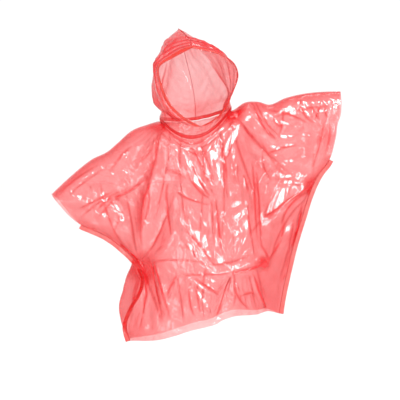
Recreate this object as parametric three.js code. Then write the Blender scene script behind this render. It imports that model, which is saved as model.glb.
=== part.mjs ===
// A small child's rain poncho in thin see-through film, worn hood up with both arms held out.
// It is cut flat as one front and one back that share the fold over the shoulders and sleeves,
// welded down both sides from cuff to hem, and has a two-piece hood welded to the neck hole.
// Millimetres, +Z up, the front faces -Y, +X is the right-hand side of someone facing the wearer.
// The origin is at the base of the neck, between the shoulders, where the wearer carries it.

import * as THREE from 'three';

// ---- driving dimensions ----

const filmWall = 1.2; // each sheet
const weldWall = 2.0; // two sheets melted together
const brimWall = 1.0; // turned edge strip round the face
const seamGap = 0.3; // between pieces that meet
const weldWidth = 10; // welded flange down each side
const weldClear = 0.45; // it starts this far outside the sheets' edge
const weldRoot = 1; // this much of it lies flat
const weldWave = 1.8; // ripple of that flange's free edge, to each side
const weldWaves = 9;
const neckBandHeight = 8;
const neckStandOff = 1.8; // the band clears the rounded top of the shoulders

const sleeveRadius = 35; // sleeve over the arm, below its top fold
const webDepth = 15; // front and back sheets hang this far from the middle below the arm
const webDrop = 75; // how far below the fold the sleeve closes to the web
const leftCuffExtra = 12; // the lower cuff stands rounder
const rightCuffExtra = -5;
const shoulderRadius = 74; // rounding from the shoulder fold to the chest or back
const weldOpening = 0.62; // how far from the weld the sheets part, against their depth

const neck = { x: -11, halfWidth: 89, z: 15, slope: 0.146, frontDip: 58, backDip: 12 };
const neckFrom = 0.39; // the neck hole's share of the top edge
const neckTo = 0.61;
const cuffShare = 0.216; // the cuff's share of each side edge
const collarWave = { rise: 3.2, pitch: 15, reach: 42 };
// Below its waist the back swells past the left weld.
const backPouch = { out: 68, back: 52, u: 0.07, z: -405, reachUp: 73, reachDown: 130 };
const weldTurn = 1.1; // there the flange turns forwards

const sleeveColumns = 16; // steps across each sleeve
const neckColumns = 14; // steps across the neck hole, and along each half of the hood
const panelRows = 25; // steps from the top fold down to the hem
const rowSpread = 1.5; // rows lie closer together at the top fold
const hoodRows = 20; // steps from the neck up to the crown
const chinShare = 0.1; // the hood's front is closed up to here
const brimShare = 0.05; // the edge strip's share of each half
const tiny = 1e-6;

// ---- tables: the first row names the columns ----

// Top edge from the lower cuff to the raised cuff, with the neck hole left out.
const topEdge = table(
	['at', 'x', 'z'],
	[0.00, -370, -180],
	[0.07, -322, -135],
	[0.14, -272, -95],
	[0.20, -232, -75],
	[0.24, -208, -55],
	[0.30, -170, -22],
	[0.35, -132, -7],
	[0.39, -100, 2],
	[0.61, 78, 28],
	[0.66, 112, 48],
	[0.71, 145, 50],
	[0.755, 175, 43],
	[0.81, 212, 59],
	[0.87, 258, 70],
	[0.94, 305, 75],
	[1.00, 350, 76],
);

// Left edge downwards: open cuff, then the side weld to the hem.
const leftEdge = table(
	['at', 'x', 'y', 'z'],
	[0.00, -370, -6, -180],
	[0.08, -345, -8, -209],
	[0.15, -325, -8, -233],
	[0.216, -297, -6, -257],
	[0.28, -270, -4, -269],
	[0.34, -238, 0, -284],
	[0.41, -211, 0, -302],
	[0.48, -186, -4, -323],
	[0.55, -163, -12, -346],
	[0.61, -147, -20, -368],
	[0.67, -140, -25, -396],
	[0.74, -148, -26, -430],
	[0.82, -170, -18, -468],
	[0.91, -184, -8, -512],
	[1.00, -176, 0, -548],
);

// Right edge downwards.
const rightEdge = table(
	['at', 'x', 'y', 'z'],
	[0.00, 350, -4, 76],
	[0.07, 350, -6, 22],
	[0.11, 342, -6, -6],
	[0.15, 338, -6, -38],
	[0.216, 323, -4, -94],
	[0.28, 299, 0, -128],
	[0.34, 283, 0, -158],
	[0.40, 269, 0, -194],
	[0.47, 255, 0, -240],
	[0.56, 236, 0, -302],
	[0.67, 220, 2, -368],
	[0.80, 207, 4, -428],
	[0.90, 202, 6, -457],
	[1.00, 199, 8, -480],
);

const hemEdge = table(
	['at', 'x', 'z'],
	[0.00, -176, -548],
	[0.20, -108, -540],
	[0.34, -60, -526],
	[0.44, -28, -515],
	[0.58, 38, -498],
	[0.64, 55, -488],
	[0.72, 88, -478],
	[0.86, 140, -477],
	[0.93, 168, -471],
	[1.00, 199, -480],
);

// Depth of the body below the shoulders: how far each sheet stands from the middle.
const bodyDepth = table(
	['z', 'front', 'back', 'halfWidth', 'x'],
	[-560, 104, 100, 210, 0],
	[-430, 96, 92, 195, 20],
	[-300, 88, 84, 170, 20],
	[-180, 84, 76, 140, 8],
	[-80, 80, 70, 118, -6],
	[30, 70, 62, 108, -11],
);

// Largest folds: a ridge (rise above 0) or trough through three points of the sheet.
const frontFolds = table(
	['x1', 'z1', 'x2', 'z2', 'x3', 'z3', 'rise', 'width'],
	[-118, -120, -140, -235, -152, -352, 11, 17],
	[-80, -170, -96, -260, -128, -330, -9, 18],
	[-138, -374, -100, -410, -74, -482, 11, 16],
	[-60, -262, -86, -318, -136, -358, 8, 15],
	[-34, -300, -10, -332, 12, -362, 7, 14],
	[268, -168, 214, -222, 160, -262, 11, 16],
	[262, -186, 208, -268, 172, -336, -9, 16],
	[252, -214, 238, -270, 226, -330, 8, 14],
	[70, -378, 116, -372, 166, -345, 10, 13],
	[66, -384, 54, -430, 40, -486, -12, 14],
	[96, -384, 88, -432, 84, -476, 9, 14],
	[128, -384, 146, -424, 156, -468, 9, 13],
	[36, -170, 44, -250, 38, -340, 6, 13],
	[-36, -104, -12, -140, 22, -186, 6, 11],
	[14, -78, 40, -120, 62, -196, 7, 12],
	[-92, -24, -128, -68, -170, -150, 9, 13],
	[84, 4, 118, -44, 190, -96, 9, 13],
	[300, 30, 306, -30, 296, -96, 6, 11],
	[-330, -190, -282, -206, -236, -246, 7, 12],
	[-262, -150, -214, -190, -160, -262, -8, 14],
	[-20, -400, -34, -450, -40, -512, 9, 15],
	[-120, -400, -128, -460, -122, -536, -8, 14],
);

const backFolds = table(
	['x1', 'z1', 'x2', 'z2', 'x3', 'z3', 'rise', 'width'],
	[-100, -60, -136, -190, -150, -340, 12, 16],
	[-60, -90, -84, -230, -140, -352, -10, 15],
	[-142, -374, -118, -430, -112, -530, 10, 16],
	[92, -40, 150, -130, 262, -178, 12, 15],
	[70, -80, 140, -210, 240, -252, -9, 15],
	[120, -260, 176, -268, 232, -300, 8, 14],
	[-30, -120, -42, -260, -20, -400, 8, 16],
	[40, -150, 62, -280, 40, -420, 8, 16],
	[20, -400, 8, -460, 16, -500, -10, 16],
	[110, -380, 120, -430, 132, -474, 9, 14],
	[-70, -420, -62, -470, -68, -520, 8, 15],
	[-320, -196, -260, -214, -216, -280, 8, 13],
	[292, 24, 286, -40, 272, -120, 7, 12],
);

// Face opening of the hood, from the chin round to the crown.
const leftBrim = table(
	['at', 'x', 'y', 'z'],
	[0.10, 2, -91, -11],
	[0.20, -38, -94, 12],
	[0.33, -70, -92, 42],
	[0.50, -92, -86, 88],
	[0.70, -99, -80, 134],
	[0.85, -62, -88, 158],
	[1.00, -20, -94, 180],
);

const rightBrim = table(
	['at', 'x', 'y', 'z'],
	[0.10, 2, -91, -11],
	[0.20, 36, -90, 8],
	[0.33, 62, -84, 38],
	[0.47, 82, -76, 78],
	[0.61, 93, -70, 116],
	[0.73, 79, -76, 147],
	[0.87, 40, -88, 167],
	[1.00, -20, -94, 180],
);

// Seam of the two hood halves: over the crown to the peak, and up the back to it.
const crownSeam = table(
	['at', 'x', 'y', 'z'],
	[0.00, -20, -94, 180],
	[0.25, -25, -58, 201],
	[0.50, -34, -16, 215],
	[0.75, -46, 22, 228],
	[1.00, -55, 54, 236],
);

const backSeam = table(
	['at', 'x', 'y', 'z'],
	[0.20, -13, 80, 52],
	[0.45, -22, 102, 106],
	[0.70, -36, 104, 162],
	[0.88, -48, 82, 210],
	[1.00, -55, 54, 236],
);

const hoodBulge = { left: 9, right: -20, back: 9 };
const hoodSlack = { out: 10, at: 0.15, reach: 0.105 }; // the left half hangs out over the neck
// Fullness beside the crown seam, greatest at this share below it.
const hoodLoft = { at: 0.085, left: { x: -23, z: 2 }, right: { x: 16, z: 8 } };

// Long narrow folds of the hood: places as shares of the half, from brim to back and neck to crown.
const leftHoodFolds = table(
	['p1', 'q1', 'p2', 'q2', 'rise', 'width'],
	[0.10, 0.04, 0.20, 0.86, 6, 0.055],
	[0.24, 0.03, 0.40, 0.90, -5, 0.050],
	[0.38, 0.03, 0.60, 0.88, 6, 0.060],
	[0.56, 0.04, 0.80, 0.80, -5, 0.060],
	[0.08, 0.78, 0.72, 0.94, 4, 0.045],
);

const rightHoodFolds = table(
	['p1', 'q1', 'p2', 'q2', 'rise', 'width'],
	[0.14, 0.04, 0.26, 0.80, 5, 0.055],
	[0.32, 0.03, 0.50, 0.86, -5, 0.055],
	[0.52, 0.04, 0.74, 0.82, 5, 0.060],
	[0.08, 0.80, 0.78, 0.92, 4, 0.045],
);

// ---- tables and curves ----

function table(columns, ...lines) {

	return lines.map((line) => Object.fromEntries(columns.map((name, i) => [name, line[i]])));

}

// A smooth curve through a table's rows: every column against the key column.
function curveThrough(rows, key) {

	const columns = Object.keys(rows[0]).filter((name) => name !== key);
	const slopes = rows.map((row, i) => {

		const before = rows[Math.max(i - 1, 0)];
		const after = rows[Math.min(i + 1, rows.length - 1)];
		const run = after[key] - before[key];
		return Object.fromEntries(columns.map((name) => [name, (after[name] - before[name]) / run]));

	});

	return (place) => {

		const t = THREE.MathUtils.clamp(place, rows[0][key], rows[rows.length - 1][key]);
		let i = 0;
		while (i < rows.length - 2 && t > rows[i + 1][key]) i++;
		const run = rows[i + 1][key] - rows[i][key];
		const s = (t - rows[i][key]) / run;
		const startShare = 1 - 3 * s * s + 2 * s * s * s;
		const startBend = (s - 2 * s * s + s * s * s) * run;
		const endBend = (s * s * s - s * s) * run;
		const point = {};
		for (const name of columns) {

			point[name] = startShare * rows[i][name] + (1 - startShare) * rows[i + 1][name]
				+ startBend * slopes[i][name] + endBend * slopes[i + 1][name];

		}

		return point;

	};

}

// Shortest distance from a point of the sheet to a chain of points, and where along it.
function nearestOn(chain, x, z) {

	let best = { distance: Infinity, along: 0 };
	for (let i = 0; i < chain.length - 1; i++) {

		const dx = chain[i + 1].x - chain[i].x;
		const dz = chain[i + 1].z - chain[i].z;
		const raw = ((x - chain[i].x) * dx + (z - chain[i].z) * dz) / (dx * dx + dz * dz);
		const s = THREE.MathUtils.clamp(raw, 0, 1);
		const distance = Math.hypot(x - chain[i].x - s * dx, z - chain[i].z - s * dz);
		if (distance < best.distance) best = { distance, along: (i + s) / (chain.length - 1) };

	}

	return best;

}

const topCurve = curveThrough(topEdge, 'at');
const leftCurve = curveThrough(leftEdge, 'at');
const rightCurve = curveThrough(rightEdge, 'at');
const hemCurve = curveThrough(hemEdge, 'at');
const depthCurve = curveThrough(bodyDepth, 'z');

function chainOf(curve, from, to, steps) {

	return Array.from({ length: steps + 1 }, (unused, i) => curve(from + (to - from) * i / steps));

}

const foldChain = [
	...chainOf(topCurve, 0, neckFrom, 2 * sleeveColumns),
	...chainOf(topCurve, neckTo, 1, 2 * sleeveColumns),
];
const weldChains = [
	chainOf(leftCurve, cuffShare, 1, 40),
	chainOf(rightCurve, cuffShare, 1, 40),
];

// ---- the sheets ----

// The neck hole seen from the front: turn runs from -90 degrees at the left to 90 at the right.
function neckEdge(turn, dip) {

	const x = neck.x + neck.halfWidth * Math.sin(turn);
	const z = neck.z + neck.slope * (x - neck.x) - dip * Math.cos(turn) ** 2;
	return { x, z };

}

function topOf(u, dip) {

	if (u <= neckFrom || u >= neckTo) return topCurve(u);
	const turn = Math.PI * ((u - neckFrom) / (neckTo - neckFrom) - 0.5);
	return neckEdge(turn, dip);

}

// A sheet's flat outline is blended over its four edges.
function blendEdges(u, v, top, hem, left, right, corners, name) {

	const across = (1 - v) * top[name] + v * hem[name];
	const down = (1 - u) * left[name] + u * right[name];
	const shared = (1 - u) * (1 - v) * corners[0][name] + u * (1 - v) * corners[1][name]
		+ (1 - u) * v * corners[2][name] + u * v * corners[3][name];
	return across + down - shared;

}

const sheetCorners = [topCurve(0), topCurve(1), hemCurve(0), hemCurve(1)];

function foldHeight(folds, x, z) {

	let height = 0;
	for (const fold of folds) {

		const chain = [{ x: fold.x1, z: fold.z1 }, { x: fold.x2, z: fold.z2 }, { x: fold.x3, z: fold.z3 }];
		const near = nearestOn(chain, x, z);
		const ends = Math.sqrt(Math.sin(Math.PI * THREE.MathUtils.clamp(near.along, 0.02, 0.98)));
		height += fold.rise * ends * Math.exp(-((near.distance / fold.width) ** 2));

	}

	return height;

}

// How far the sheet stands from the middle at a point of its outline.
function sheetDepth(x, z, side) {

	const fold = nearestOn(foldChain, x, z).distance;
	const weld = Math.min(...weldChains.map((chain) => nearestOn(chain, x, z).distance));
	const body = depthCurve(z);
	const nearBody = 1 / (1 + Math.abs((x - body.x) / body.halfWidth) ** 5);
	const leftExtra = leftCuffExtra * (x / leftEdge[0].x) ** 3;
	const rightExtra = rightCuffExtra * (x / rightEdge[0].x) ** 3;
	const cuffExtra = x < 0 ? leftExtra : rightExtra;
	const sleeve = webDepth + (sleeveRadius - webDepth + cuffExtra) * Math.exp(-((fold / webDrop) ** 3));
	const full = sleeve + (body[side] - sleeve) * nearBody;
	const rounding = sleeveRadius + (shoulderRadius - sleeveRadius) * nearBody;
	const overTop = Math.sqrt(1 - (1 - Math.min(fold / rounding, 1)) ** 2);
	const offWeld = 1 - Math.exp(-((weld / (weldOpening * full)) ** 1.35));
	const gap = seamGap / 2 + filmWall / 2 * Math.min(fold / 6, 1);
	const folds = foldHeight(side === 'front' ? frontFolds : backFolds, x, z);
	const freedom = Math.min(fold / 24, 1) * Math.min(weld / 40, 1);
	return gap + full * overTop * offWeld + folds * freedom;

}

// Shallow rings below the neck weld, where the gathered sheet lies in arcs.
function collarRise(x, z) {

	const chain = [-90, -60, -30, 0, 30, 60, 90].map((angle) => {

		return neckEdge(THREE.MathUtils.degToRad(angle), neck.frontDip);

	});
	const near = nearestOn(chain, x, z).distance;
	const fade = Math.max(0, 1 - near / collarWave.reach);
	return collarWave.rise * fade * (1 - Math.cos(2 * Math.PI * near / collarWave.pitch));

}

function pouchShare(z) {

	const reach = z > backPouch.z ? backPouch.reachUp : backPouch.reachDown;
	return Math.exp(-(((z - backPouch.z) / reach) ** 2));

}

function sheetPoint(u, v, side) {

	const front = side === 'front';
	const top = topOf(u, front ? neck.frontDip : neck.backDip);
	const left = leftCurve(v);
	const right = rightCurve(v);
	const edges = [top, hemCurve(u), left, right, sheetCorners];
	const x = blendEdges(u, v, ...edges, 'x');
	const z = blendEdges(u, v, ...edges, 'z');
	const middle = (1 - u) * left.y + u * right.y;
	const depth = sheetDepth(x, z, side) + (front ? collarRise(x, z) * Math.min(v * 12, 1) : 0);
	if (front) return new THREE.Vector3(x, middle - depth, z);
	const swell = (u / backPouch.u) * Math.exp(1 - u / backPouch.u);
	const out = backPouch.out * pouchShare(z) * swell ** 2;
	return new THREE.Vector3(x - out, middle + depth + backPouch.back * pouchShare(z) * swell, z);

}

// ---- solids ----

// Normals of a grid of points. Where two pieces meet at an angle, mitre names the axes that the
// normals there have no part of, so that both end faces are parallel.
function normalsOf(points, { closed = false, mitre = () => '' } = {}) {

	const last = points.length - 1;
	const wrapped = (i) => (i + points.length) % points.length;
	const column = (i) => points[closed ? wrapped(i) : THREE.MathUtils.clamp(i, 0, last)];
	return points.map((line, i) => line.map((point, j) => {

		const across = column(i + 1)[j].clone().sub(column(i - 1)[j]);
		const down = line[Math.min(j + 1, line.length - 1)].clone().sub(line[Math.max(j - 1, 0)]);
		const normal = down.cross(across);
		for (const axis of mitre(i, j)) normal[axis] = 0;
		return normal.normalize();

	}));

}

// A wall round a grid of points, half its thickness to either side. Lift moves it outwards.
function wallOf(points, normals, thickness, { closed = false, lift = 0 } = {}) {

	const columns = points.length;
	const rows = points[0].length;
	const positions = [];
	for (const shift of [lift + thickness / 2, lift - thickness / 2]) {

		points.forEach((line, i) => line.forEach((point, j) => {

			positions.push(...point.clone().addScaledVector(normals[i][j], shift).toArray());

		}));

	}

	const outer = (i, j) => (i % columns) * rows + j;
	const inner = (i, j) => columns * rows + outer(i, j);
	const index = [];
	const quad = (a, b, c, d) => index.push(a, b, c, a, c, d);
	const lastRow = rows - 1;
	for (let i = 0; i < (closed ? columns : columns - 1); i++) {

		for (let j = 0; j < lastRow; j++) {

			quad(outer(i, j), outer(i, j + 1), outer(i + 1, j + 1), outer(i + 1, j));
			quad(inner(i, j), inner(i + 1, j), inner(i + 1, j + 1), inner(i, j + 1));

		}

		quad(inner(i, 0), outer(i, 0), outer(i + 1, 0), inner(i + 1, 0));
		quad(outer(i, lastRow), inner(i, lastRow), inner(i + 1, lastRow), outer(i + 1, lastRow));

	}

	for (let j = 0; j < (closed ? 0 : lastRow); j++) {

		const end = columns - 1;
		quad(outer(0, j), inner(0, j), inner(0, j + 1), outer(0, j + 1));
		quad(inner(end, j), outer(end, j), outer(end, j + 1), inner(end, j + 1));

	}

	const geometry = new THREE.BufferGeometry();
	geometry.setAttribute('position', new THREE.Float32BufferAttribute(positions, 3));
	geometry.setIndex(index);
	return geometry;

}

function steps(from, to, count) {

	return Array.from({ length: count + 1 }, (unused, i) => from + (to - from) * i / count);

}

// ---- front and back ----

const panelColumnShares = [
	...steps(0, neckFrom, sleeveColumns),
	...steps(neckFrom, neckTo, neckColumns).slice(1),
	...steps(neckTo, 1, sleeveColumns).slice(1),
];
const panelRowShares = steps(0, 1, panelRows).map((w) => w ** rowSpread);

function makePanel(side) {

	const points = panelColumnShares.map((u) => panelRowShares.map((v) => sheetPoint(u, v, side)));
	const outwards = side === 'front' ? points : points.reverse();
	const onFold = (i) => i <= sleeveColumns || i >= sleeveColumns + neckColumns;
	const onWeld = (i, j) => i % (points.length - 1) === 0 && panelRowShares[j] > cuffShare - tiny;
	const mitre = (i, j) => {

		if (j === 0) return onFold(i) ? 'y' : '';
		return onWeld(i, j) ? 'xz' : '';

	};
	return { points: outwards, normals: normalsOf(outwards, { mitre }) };

}

const frontPanel = makePanel('front');
const backPanel = makePanel('back');

// ---- side welds ----

// The flange starts just outside the sheets' edge, and its free edge ripples.
function makeWeld(curve, outwards) {

	const rows = panelRowShares.filter((v) => v > cuffShare - tiny).map((v) => curve(v));
	const edge = rows.flatMap((row, i) => {

		if (i === 0) return [row];
		const half = new THREE.Vector3().lerpVectors(rows[i - 1], row, 0.5);
		return [half, row];

	});
	const points = edge.map((point, i) => {

		const before = edge[Math.max(i - 1, 0)];
		const after = edge[Math.min(i + 1, edge.length - 1)];
		const away = new THREE.Vector3(after.z - before.z, 0, before.x - after.x).normalize();
		away.multiplyScalar(outwards);
		const pouch = point.x < 0 ? pouchShare(point.z) : 0;
		const start = new THREE.Vector3(point.x, point.y, point.z).addScaledVector(away, weldClear * (1 + pouch));
		const root = start.clone().addScaledVector(away, weldRoot);
		away.y = -weldTurn * pouch;
		const end = root.clone().addScaledVector(away.normalize(), weldWidth - weldRoot);
		end.y += weldWave * Math.sin(2 * Math.PI * weldWaves * i / edge.length);
		return [start, root, end];

	});
	return { points, normals: normalsOf(points) };

}

// ---- neck band and hood ----

// Foot of the neck band at each step round the neck hole: 0 is the front middle, and
// steps count to the right or, when negative, to the left.
function neckFoot(step) {

	const toCorner = neckColumns / 2;
	const onFront = Math.abs(step) <= toCorner;
	const panel = onFront ? frontPanel : backPanel;
	const back = Math.sign(step) * (Math.abs(step) - neckColumns);
	const column = sleeveColumns + toCorner + (onFront ? step : back);
	const point = panel.points[column][0];
	const rise = seamGap + neckStandOff * Math.abs(panel.normals[column][0].z);
	return new THREE.Vector3(point.x, onFront && step * step === toCorner ** 2 ? 0 : point.y, point.z + rise);

}

const neckBand = steps(-neckColumns, neckColumns, 2 * neckColumns).slice(1).reverse().map((step) => {

	const foot = neckFoot(step);
	return [foot, new THREE.Vector3(foot.x, foot.y, foot.z + neckBandHeight)];

});

const hoodRise = neckBandHeight + 1.5 * seamGap + filmWall / 2;

// The hood's lower edge runs straight from one step of the neck band to the next.
function hoodFoot(p, hand) {

	const step = Math.min(Math.floor(p * neckColumns), neckColumns - 1);
	const from = neckFoot(hand * step);
	const to = neckFoot(hand * (step + 1));
	const foot = new THREE.Vector3().lerpVectors(from, to, p * neckColumns - step);
	foot.z += hoodRise;
	return foot;

}

const hoodColumnShares = [0, brimShare, ...steps(0, 1, neckColumns).slice(1)];
const hoodRowShares = steps(0, 1, hoodRows);

function makeHoodHalf(hand) {

	const front = hoodFoot(0, hand);
	const back = hoodFoot(1, hand);
	const opening = curveThrough(hand < 0 ? leftBrim : rightBrim, 'at');
	const chin = new THREE.Vector3().copy(opening(chinShare));
	const belowChin = (q) => new THREE.Vector3().lerpVectors(front, chin, q / chinShare);
	const brim = (q) => q < chinShare ? belowChin(q) : opening(q);
	const rear = curveThrough([{ at: 0, ...back }, ...backSeam], 'at');
	const crown = curveThrough(crownSeam, 'at');
	const corners = [front, back, crown(0), crown(1)];
	const folds = hand < 0 ? leftHoodFolds : rightHoodFolds;
	const bulge = hand < 0 ? hoodBulge.left : hoodBulge.right;
	const loft = hand < 0 ? hoodLoft.left : hoodLoft.right;
	const pointAt = (p, q) => {

		const edges = [hoodFoot(p, hand), crown(p), brim(q), rear(q), corners];
		const point = new THREE.Vector3(
			blendEdges(p, q, ...edges, 'x'),
			blendEdges(p, q, ...edges, 'y'),
			blendEdges(p, q, ...edges, 'z'),
		);
		const fullness = Math.sin(Math.PI * p) * Math.sin(Math.PI * q);
		point.x += hand * bulge * fullness;
		point.y += hoodBulge.back * fullness * p;
		const slack = hoodSlack.out * Math.sin(Math.PI * p);
		if (hand < 0) point.x -= slack * Math.exp(-(((q - hoodSlack.at) / hoodSlack.reach) ** 2));
		const below = (1 - q) / hoodLoft.at;
		const besideSeam = below * Math.exp(1 - below) * Math.min(q * 4, 1);
		const swell = besideSeam * Math.sqrt(Math.max(Math.sin(Math.PI * p), 0)) * (hand < 0 ? 1 : p ** 3);
		point.x += loft.x * swell;
		point.z += loft.z * swell;
		const chains = folds.map((fold) => [{ x: fold.p1, z: fold.q1 }, { x: fold.p2, z: fold.q2 }]);
		const rise = folds.reduce((sum, fold, i) => {

			const near = nearestOn(chains[i], p, q);
			return sum + fold.rise * Math.exp(-((near.distance / fold.width) ** 2));

		}, 0);
		const away = new THREE.Vector3(point.x - neck.x, point.y, 0).normalize();
		return point.addScaledVector(away, rise * Math.min(fullness * 2.5, 1));

	};

	const shares = hand < 0 ? hoodColumnShares : [...hoodColumnShares].reverse();
	const points = shares.map((p) => hoodRowShares.map((q) => pointAt(p, q)));
	const normals = normalsOf(points);
	shares.forEach((p, i) => hoodRowShares.forEach((q, j) => {

		const onSeam = p === 1 || q === 1 || (p === 0 && q < chinShare + tiny);
		if (onSeam) points[i][j].x += hand * (0.8 * seamGap + filmWall / 2 * Math.abs(normals[i][j].x));

	}));
	return { points, normals };

}

// The turned strip lies on the hood's first two columns, from the chin to the crown.
function brimOf(half, hand) {

	const from = Math.round(chinShare * hoodRows);
	const pick = (grid) => {

		const strip = hand < 0 ? grid.slice(0, 2) : grid.slice(-2);
		return strip.map((line) => line.slice(from));

	};
	return { points: pick(half.points), normals: pick(half.normals) };

}

// ---- scene graph ----

function film(color, roughness) {

	return new THREE.MeshStandardMaterial({ color, roughness, metalness: 0, transparent: true, opacity: 0.6 });

}

const group = new THREE.Group();

function addPiece(name, { points, normals }, thickness, color, options) {

	const mesh = new THREE.Mesh(wallOf(points, normals, thickness, options), film(color, 0.25));
	mesh.name = name;
	group.add(mesh);

}

const filmRed = 0xf5838a;
const weldRed = 0xd8252c;
const brimRed = 0xe25548;

addPiece('front_panel', frontPanel, filmWall, filmRed);
addPiece('back_panel', backPanel, filmWall, filmRed);
addPiece('weld_left', makeWeld(leftCurve, 1), weldWall, weldRed);
addPiece('weld_right', makeWeld(rightCurve, -1), weldWall, weldRed);
const neckRing = { points: neckBand, normals: normalsOf(neckBand, { closed: true }) };
addPiece('neck_weld', neckRing, weldWall, weldRed, { closed: true });

for (const [side, hand] of [['left', -1], ['right', 1]]) {

	const half = makeHoodHalf(hand);
	addPiece(`hood_${side}`, half, filmWall, filmRed);
	addPiece(`brim_${side}`, brimOf(half, hand), brimWall, brimRed, {
		lift: filmWall / 2 + seamGap + brimWall / 2,
	});

}

export default group;
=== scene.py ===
import math

import bpy
import numpy as np
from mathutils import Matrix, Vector


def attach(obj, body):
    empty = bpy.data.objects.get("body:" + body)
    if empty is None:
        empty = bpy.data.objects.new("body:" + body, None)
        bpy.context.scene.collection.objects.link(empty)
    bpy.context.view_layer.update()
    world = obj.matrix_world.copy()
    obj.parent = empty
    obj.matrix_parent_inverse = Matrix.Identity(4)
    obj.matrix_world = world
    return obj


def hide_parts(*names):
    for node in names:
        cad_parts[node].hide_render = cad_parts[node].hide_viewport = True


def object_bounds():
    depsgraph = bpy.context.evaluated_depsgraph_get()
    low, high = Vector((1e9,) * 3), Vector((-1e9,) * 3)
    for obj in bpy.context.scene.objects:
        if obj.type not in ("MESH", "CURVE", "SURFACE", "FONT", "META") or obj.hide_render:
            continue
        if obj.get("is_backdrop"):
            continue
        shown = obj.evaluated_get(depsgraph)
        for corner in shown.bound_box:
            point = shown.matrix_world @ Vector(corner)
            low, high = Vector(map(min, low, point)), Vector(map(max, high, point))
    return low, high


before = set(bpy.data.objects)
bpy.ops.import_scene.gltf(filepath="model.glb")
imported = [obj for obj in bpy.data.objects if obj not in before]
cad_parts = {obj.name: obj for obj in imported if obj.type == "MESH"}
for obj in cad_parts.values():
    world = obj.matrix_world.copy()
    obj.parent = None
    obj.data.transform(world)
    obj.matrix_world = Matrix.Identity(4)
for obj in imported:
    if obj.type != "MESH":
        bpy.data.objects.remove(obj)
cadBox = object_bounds()
print("frame loaded")

# Child's rain poncho in see-through red polyethylene film. Sizes are in mm until a mesh is made.
mm = 0.001

cut = {
    "shell": 0.5,  # film walls, drawn thicker than real film of about 0.04 mm
    "weldShell": 0.9,
    "brimShell": 0.8,
    "solidWall": 1.2,  # wall of the solids, whose middle surface the film follows
    "seamGap": 0.3,
    "sleeveColumns": 100,
    "neckColumns": 62,
    "rows": 186,
    "rowSpread": 1.2,
}

neck = {
    "x": -11, "halfWidth": 89, "z": 15, "slope": 0.146, "frontDip": 58, "backDip": 12,
    "from": 0.39, "to": 0.61,  # share of the top edge
    "band": 8, "standOff": 1.8,
    "puckers": 46, "pucker": 0.7,  # small gathers in the weld
    "swaySeed": 61, "swaySize": 0.05, "sway": 0.6, "rows": 6, "gather": 0.6,
}
cuffShare = 0.216  # share of a side edge that is the cuff's opening, above its weld


def table(names, *rows):
    return dict(zip(names.split(), np.array(rows, float).T))


def curveThrough(rows, key):
    # a smooth curve through a table's rows: every column against the key column
    keys = rows[key]
    count = len(keys)
    before = np.maximum(np.arange(count) - 1, 0)
    after = np.minimum(np.arange(count) + 1, count - 1)
    names = [name for name in rows if name != key]
    slopes = {n: (rows[n][after] - rows[n][before]) / (keys[after] - keys[before]) for n in names}

    def at(place):
        t = np.clip(place, keys[0], keys[-1])
        i = np.clip(np.searchsorted(keys, t, side="right") - 1, 0, count - 2)
        run = keys[i + 1] - keys[i]
        s = (t - keys[i]) / run
        start = 1 - 3 * s**2 + 2 * s**3
        startBend = (s - 2 * s**2 + s**3) * run
        endBend = (s**3 - s**2) * run
        return {
            n: start * rows[n][i] + (1 - start) * rows[n][i + 1]
            + startBend * slopes[n][i] + endBend * slopes[n][i + 1]
            for n in names
        }

    return at


def pointsOf(rows):
    return np.stack([rows[axis] for axis in "xyz"], axis=-1)


def nearestOn(chain, x, z):
    # shortest distance from each point to a chain of points, and where along it
    cx, cz = chain
    best = np.full(np.shape(x), np.inf)
    along = np.zeros(np.shape(x))
    for i in range(len(cx) - 1):
        dx, dz = cx[i + 1] - cx[i], cz[i + 1] - cz[i]
        s = np.clip(((x - cx[i]) * dx + (z - cz[i]) * dz) / (dx * dx + dz * dz), 0, 1)
        distance = np.hypot(x - cx[i] - s * dx, z - cz[i] - s * dz)
        nearer = distance < best
        best = np.where(nearer, distance, best)
        along = np.where(nearer, (i + s) / (len(cx) - 1), along)
    return best, along


def triangle(t):
    return 4 * np.abs(t - np.floor(t + 0.5)) - 1


def cloud(seed, size, x, z):
    # smooth random field from -1 to 1 in blobs of this size
    cells = 64
    grid = np.random.default_rng(seed).uniform(-1, 1, (cells, cells))
    fx, fz = x / size, z / size
    ix, iz = np.floor(fx).astype(int), np.floor(fz).astype(int)
    sx, sz = fx - ix, fz - iz
    sx, sz = sx * sx * (3 - 2 * sx), sz * sz * (3 - 2 * sz)
    corner = lambda i, j: grid[(ix + i) % cells, (iz + j) % cells]
    low = corner(0, 0) * (1 - sx) + corner(1, 0) * sx
    high = corner(0, 1) * (1 - sx) + corner(1, 1) * sx
    return low * (1 - sz) + high * sz


# what crumple adds up: how many waves, how far they bend, and their lengths as shares of the facets' size
waves = {"count": 6, "bend": 0.5, "bendSize": 2.3, "shortest": 0.6, "longest": 1.7}


def crumple(seed, x, z, size, lean, spread):
    # straight-sided waves in random directions add up to flat facets with sharp creases between them
    rng = np.random.default_rng(seed)
    bentX = x + waves["bend"] * size * cloud(seed + 1, waves["bendSize"] * size, x, z)
    bentZ = z + waves["bend"] * size * cloud(seed + 2, waves["bendSize"] * size, x, z)
    total = np.zeros(np.shape(x))
    for i in range(waves["count"]):
        angle = lean + rng.normal(0, 1) * spread
        length = size * rng.uniform(waves["shortest"], waves["longest"])
        place = (bentX * np.cos(angle) + bentZ * np.sin(angle)) / length + rng.uniform(0, 1)
        total += triangle(place) * length
    return total / waves["count"]


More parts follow.
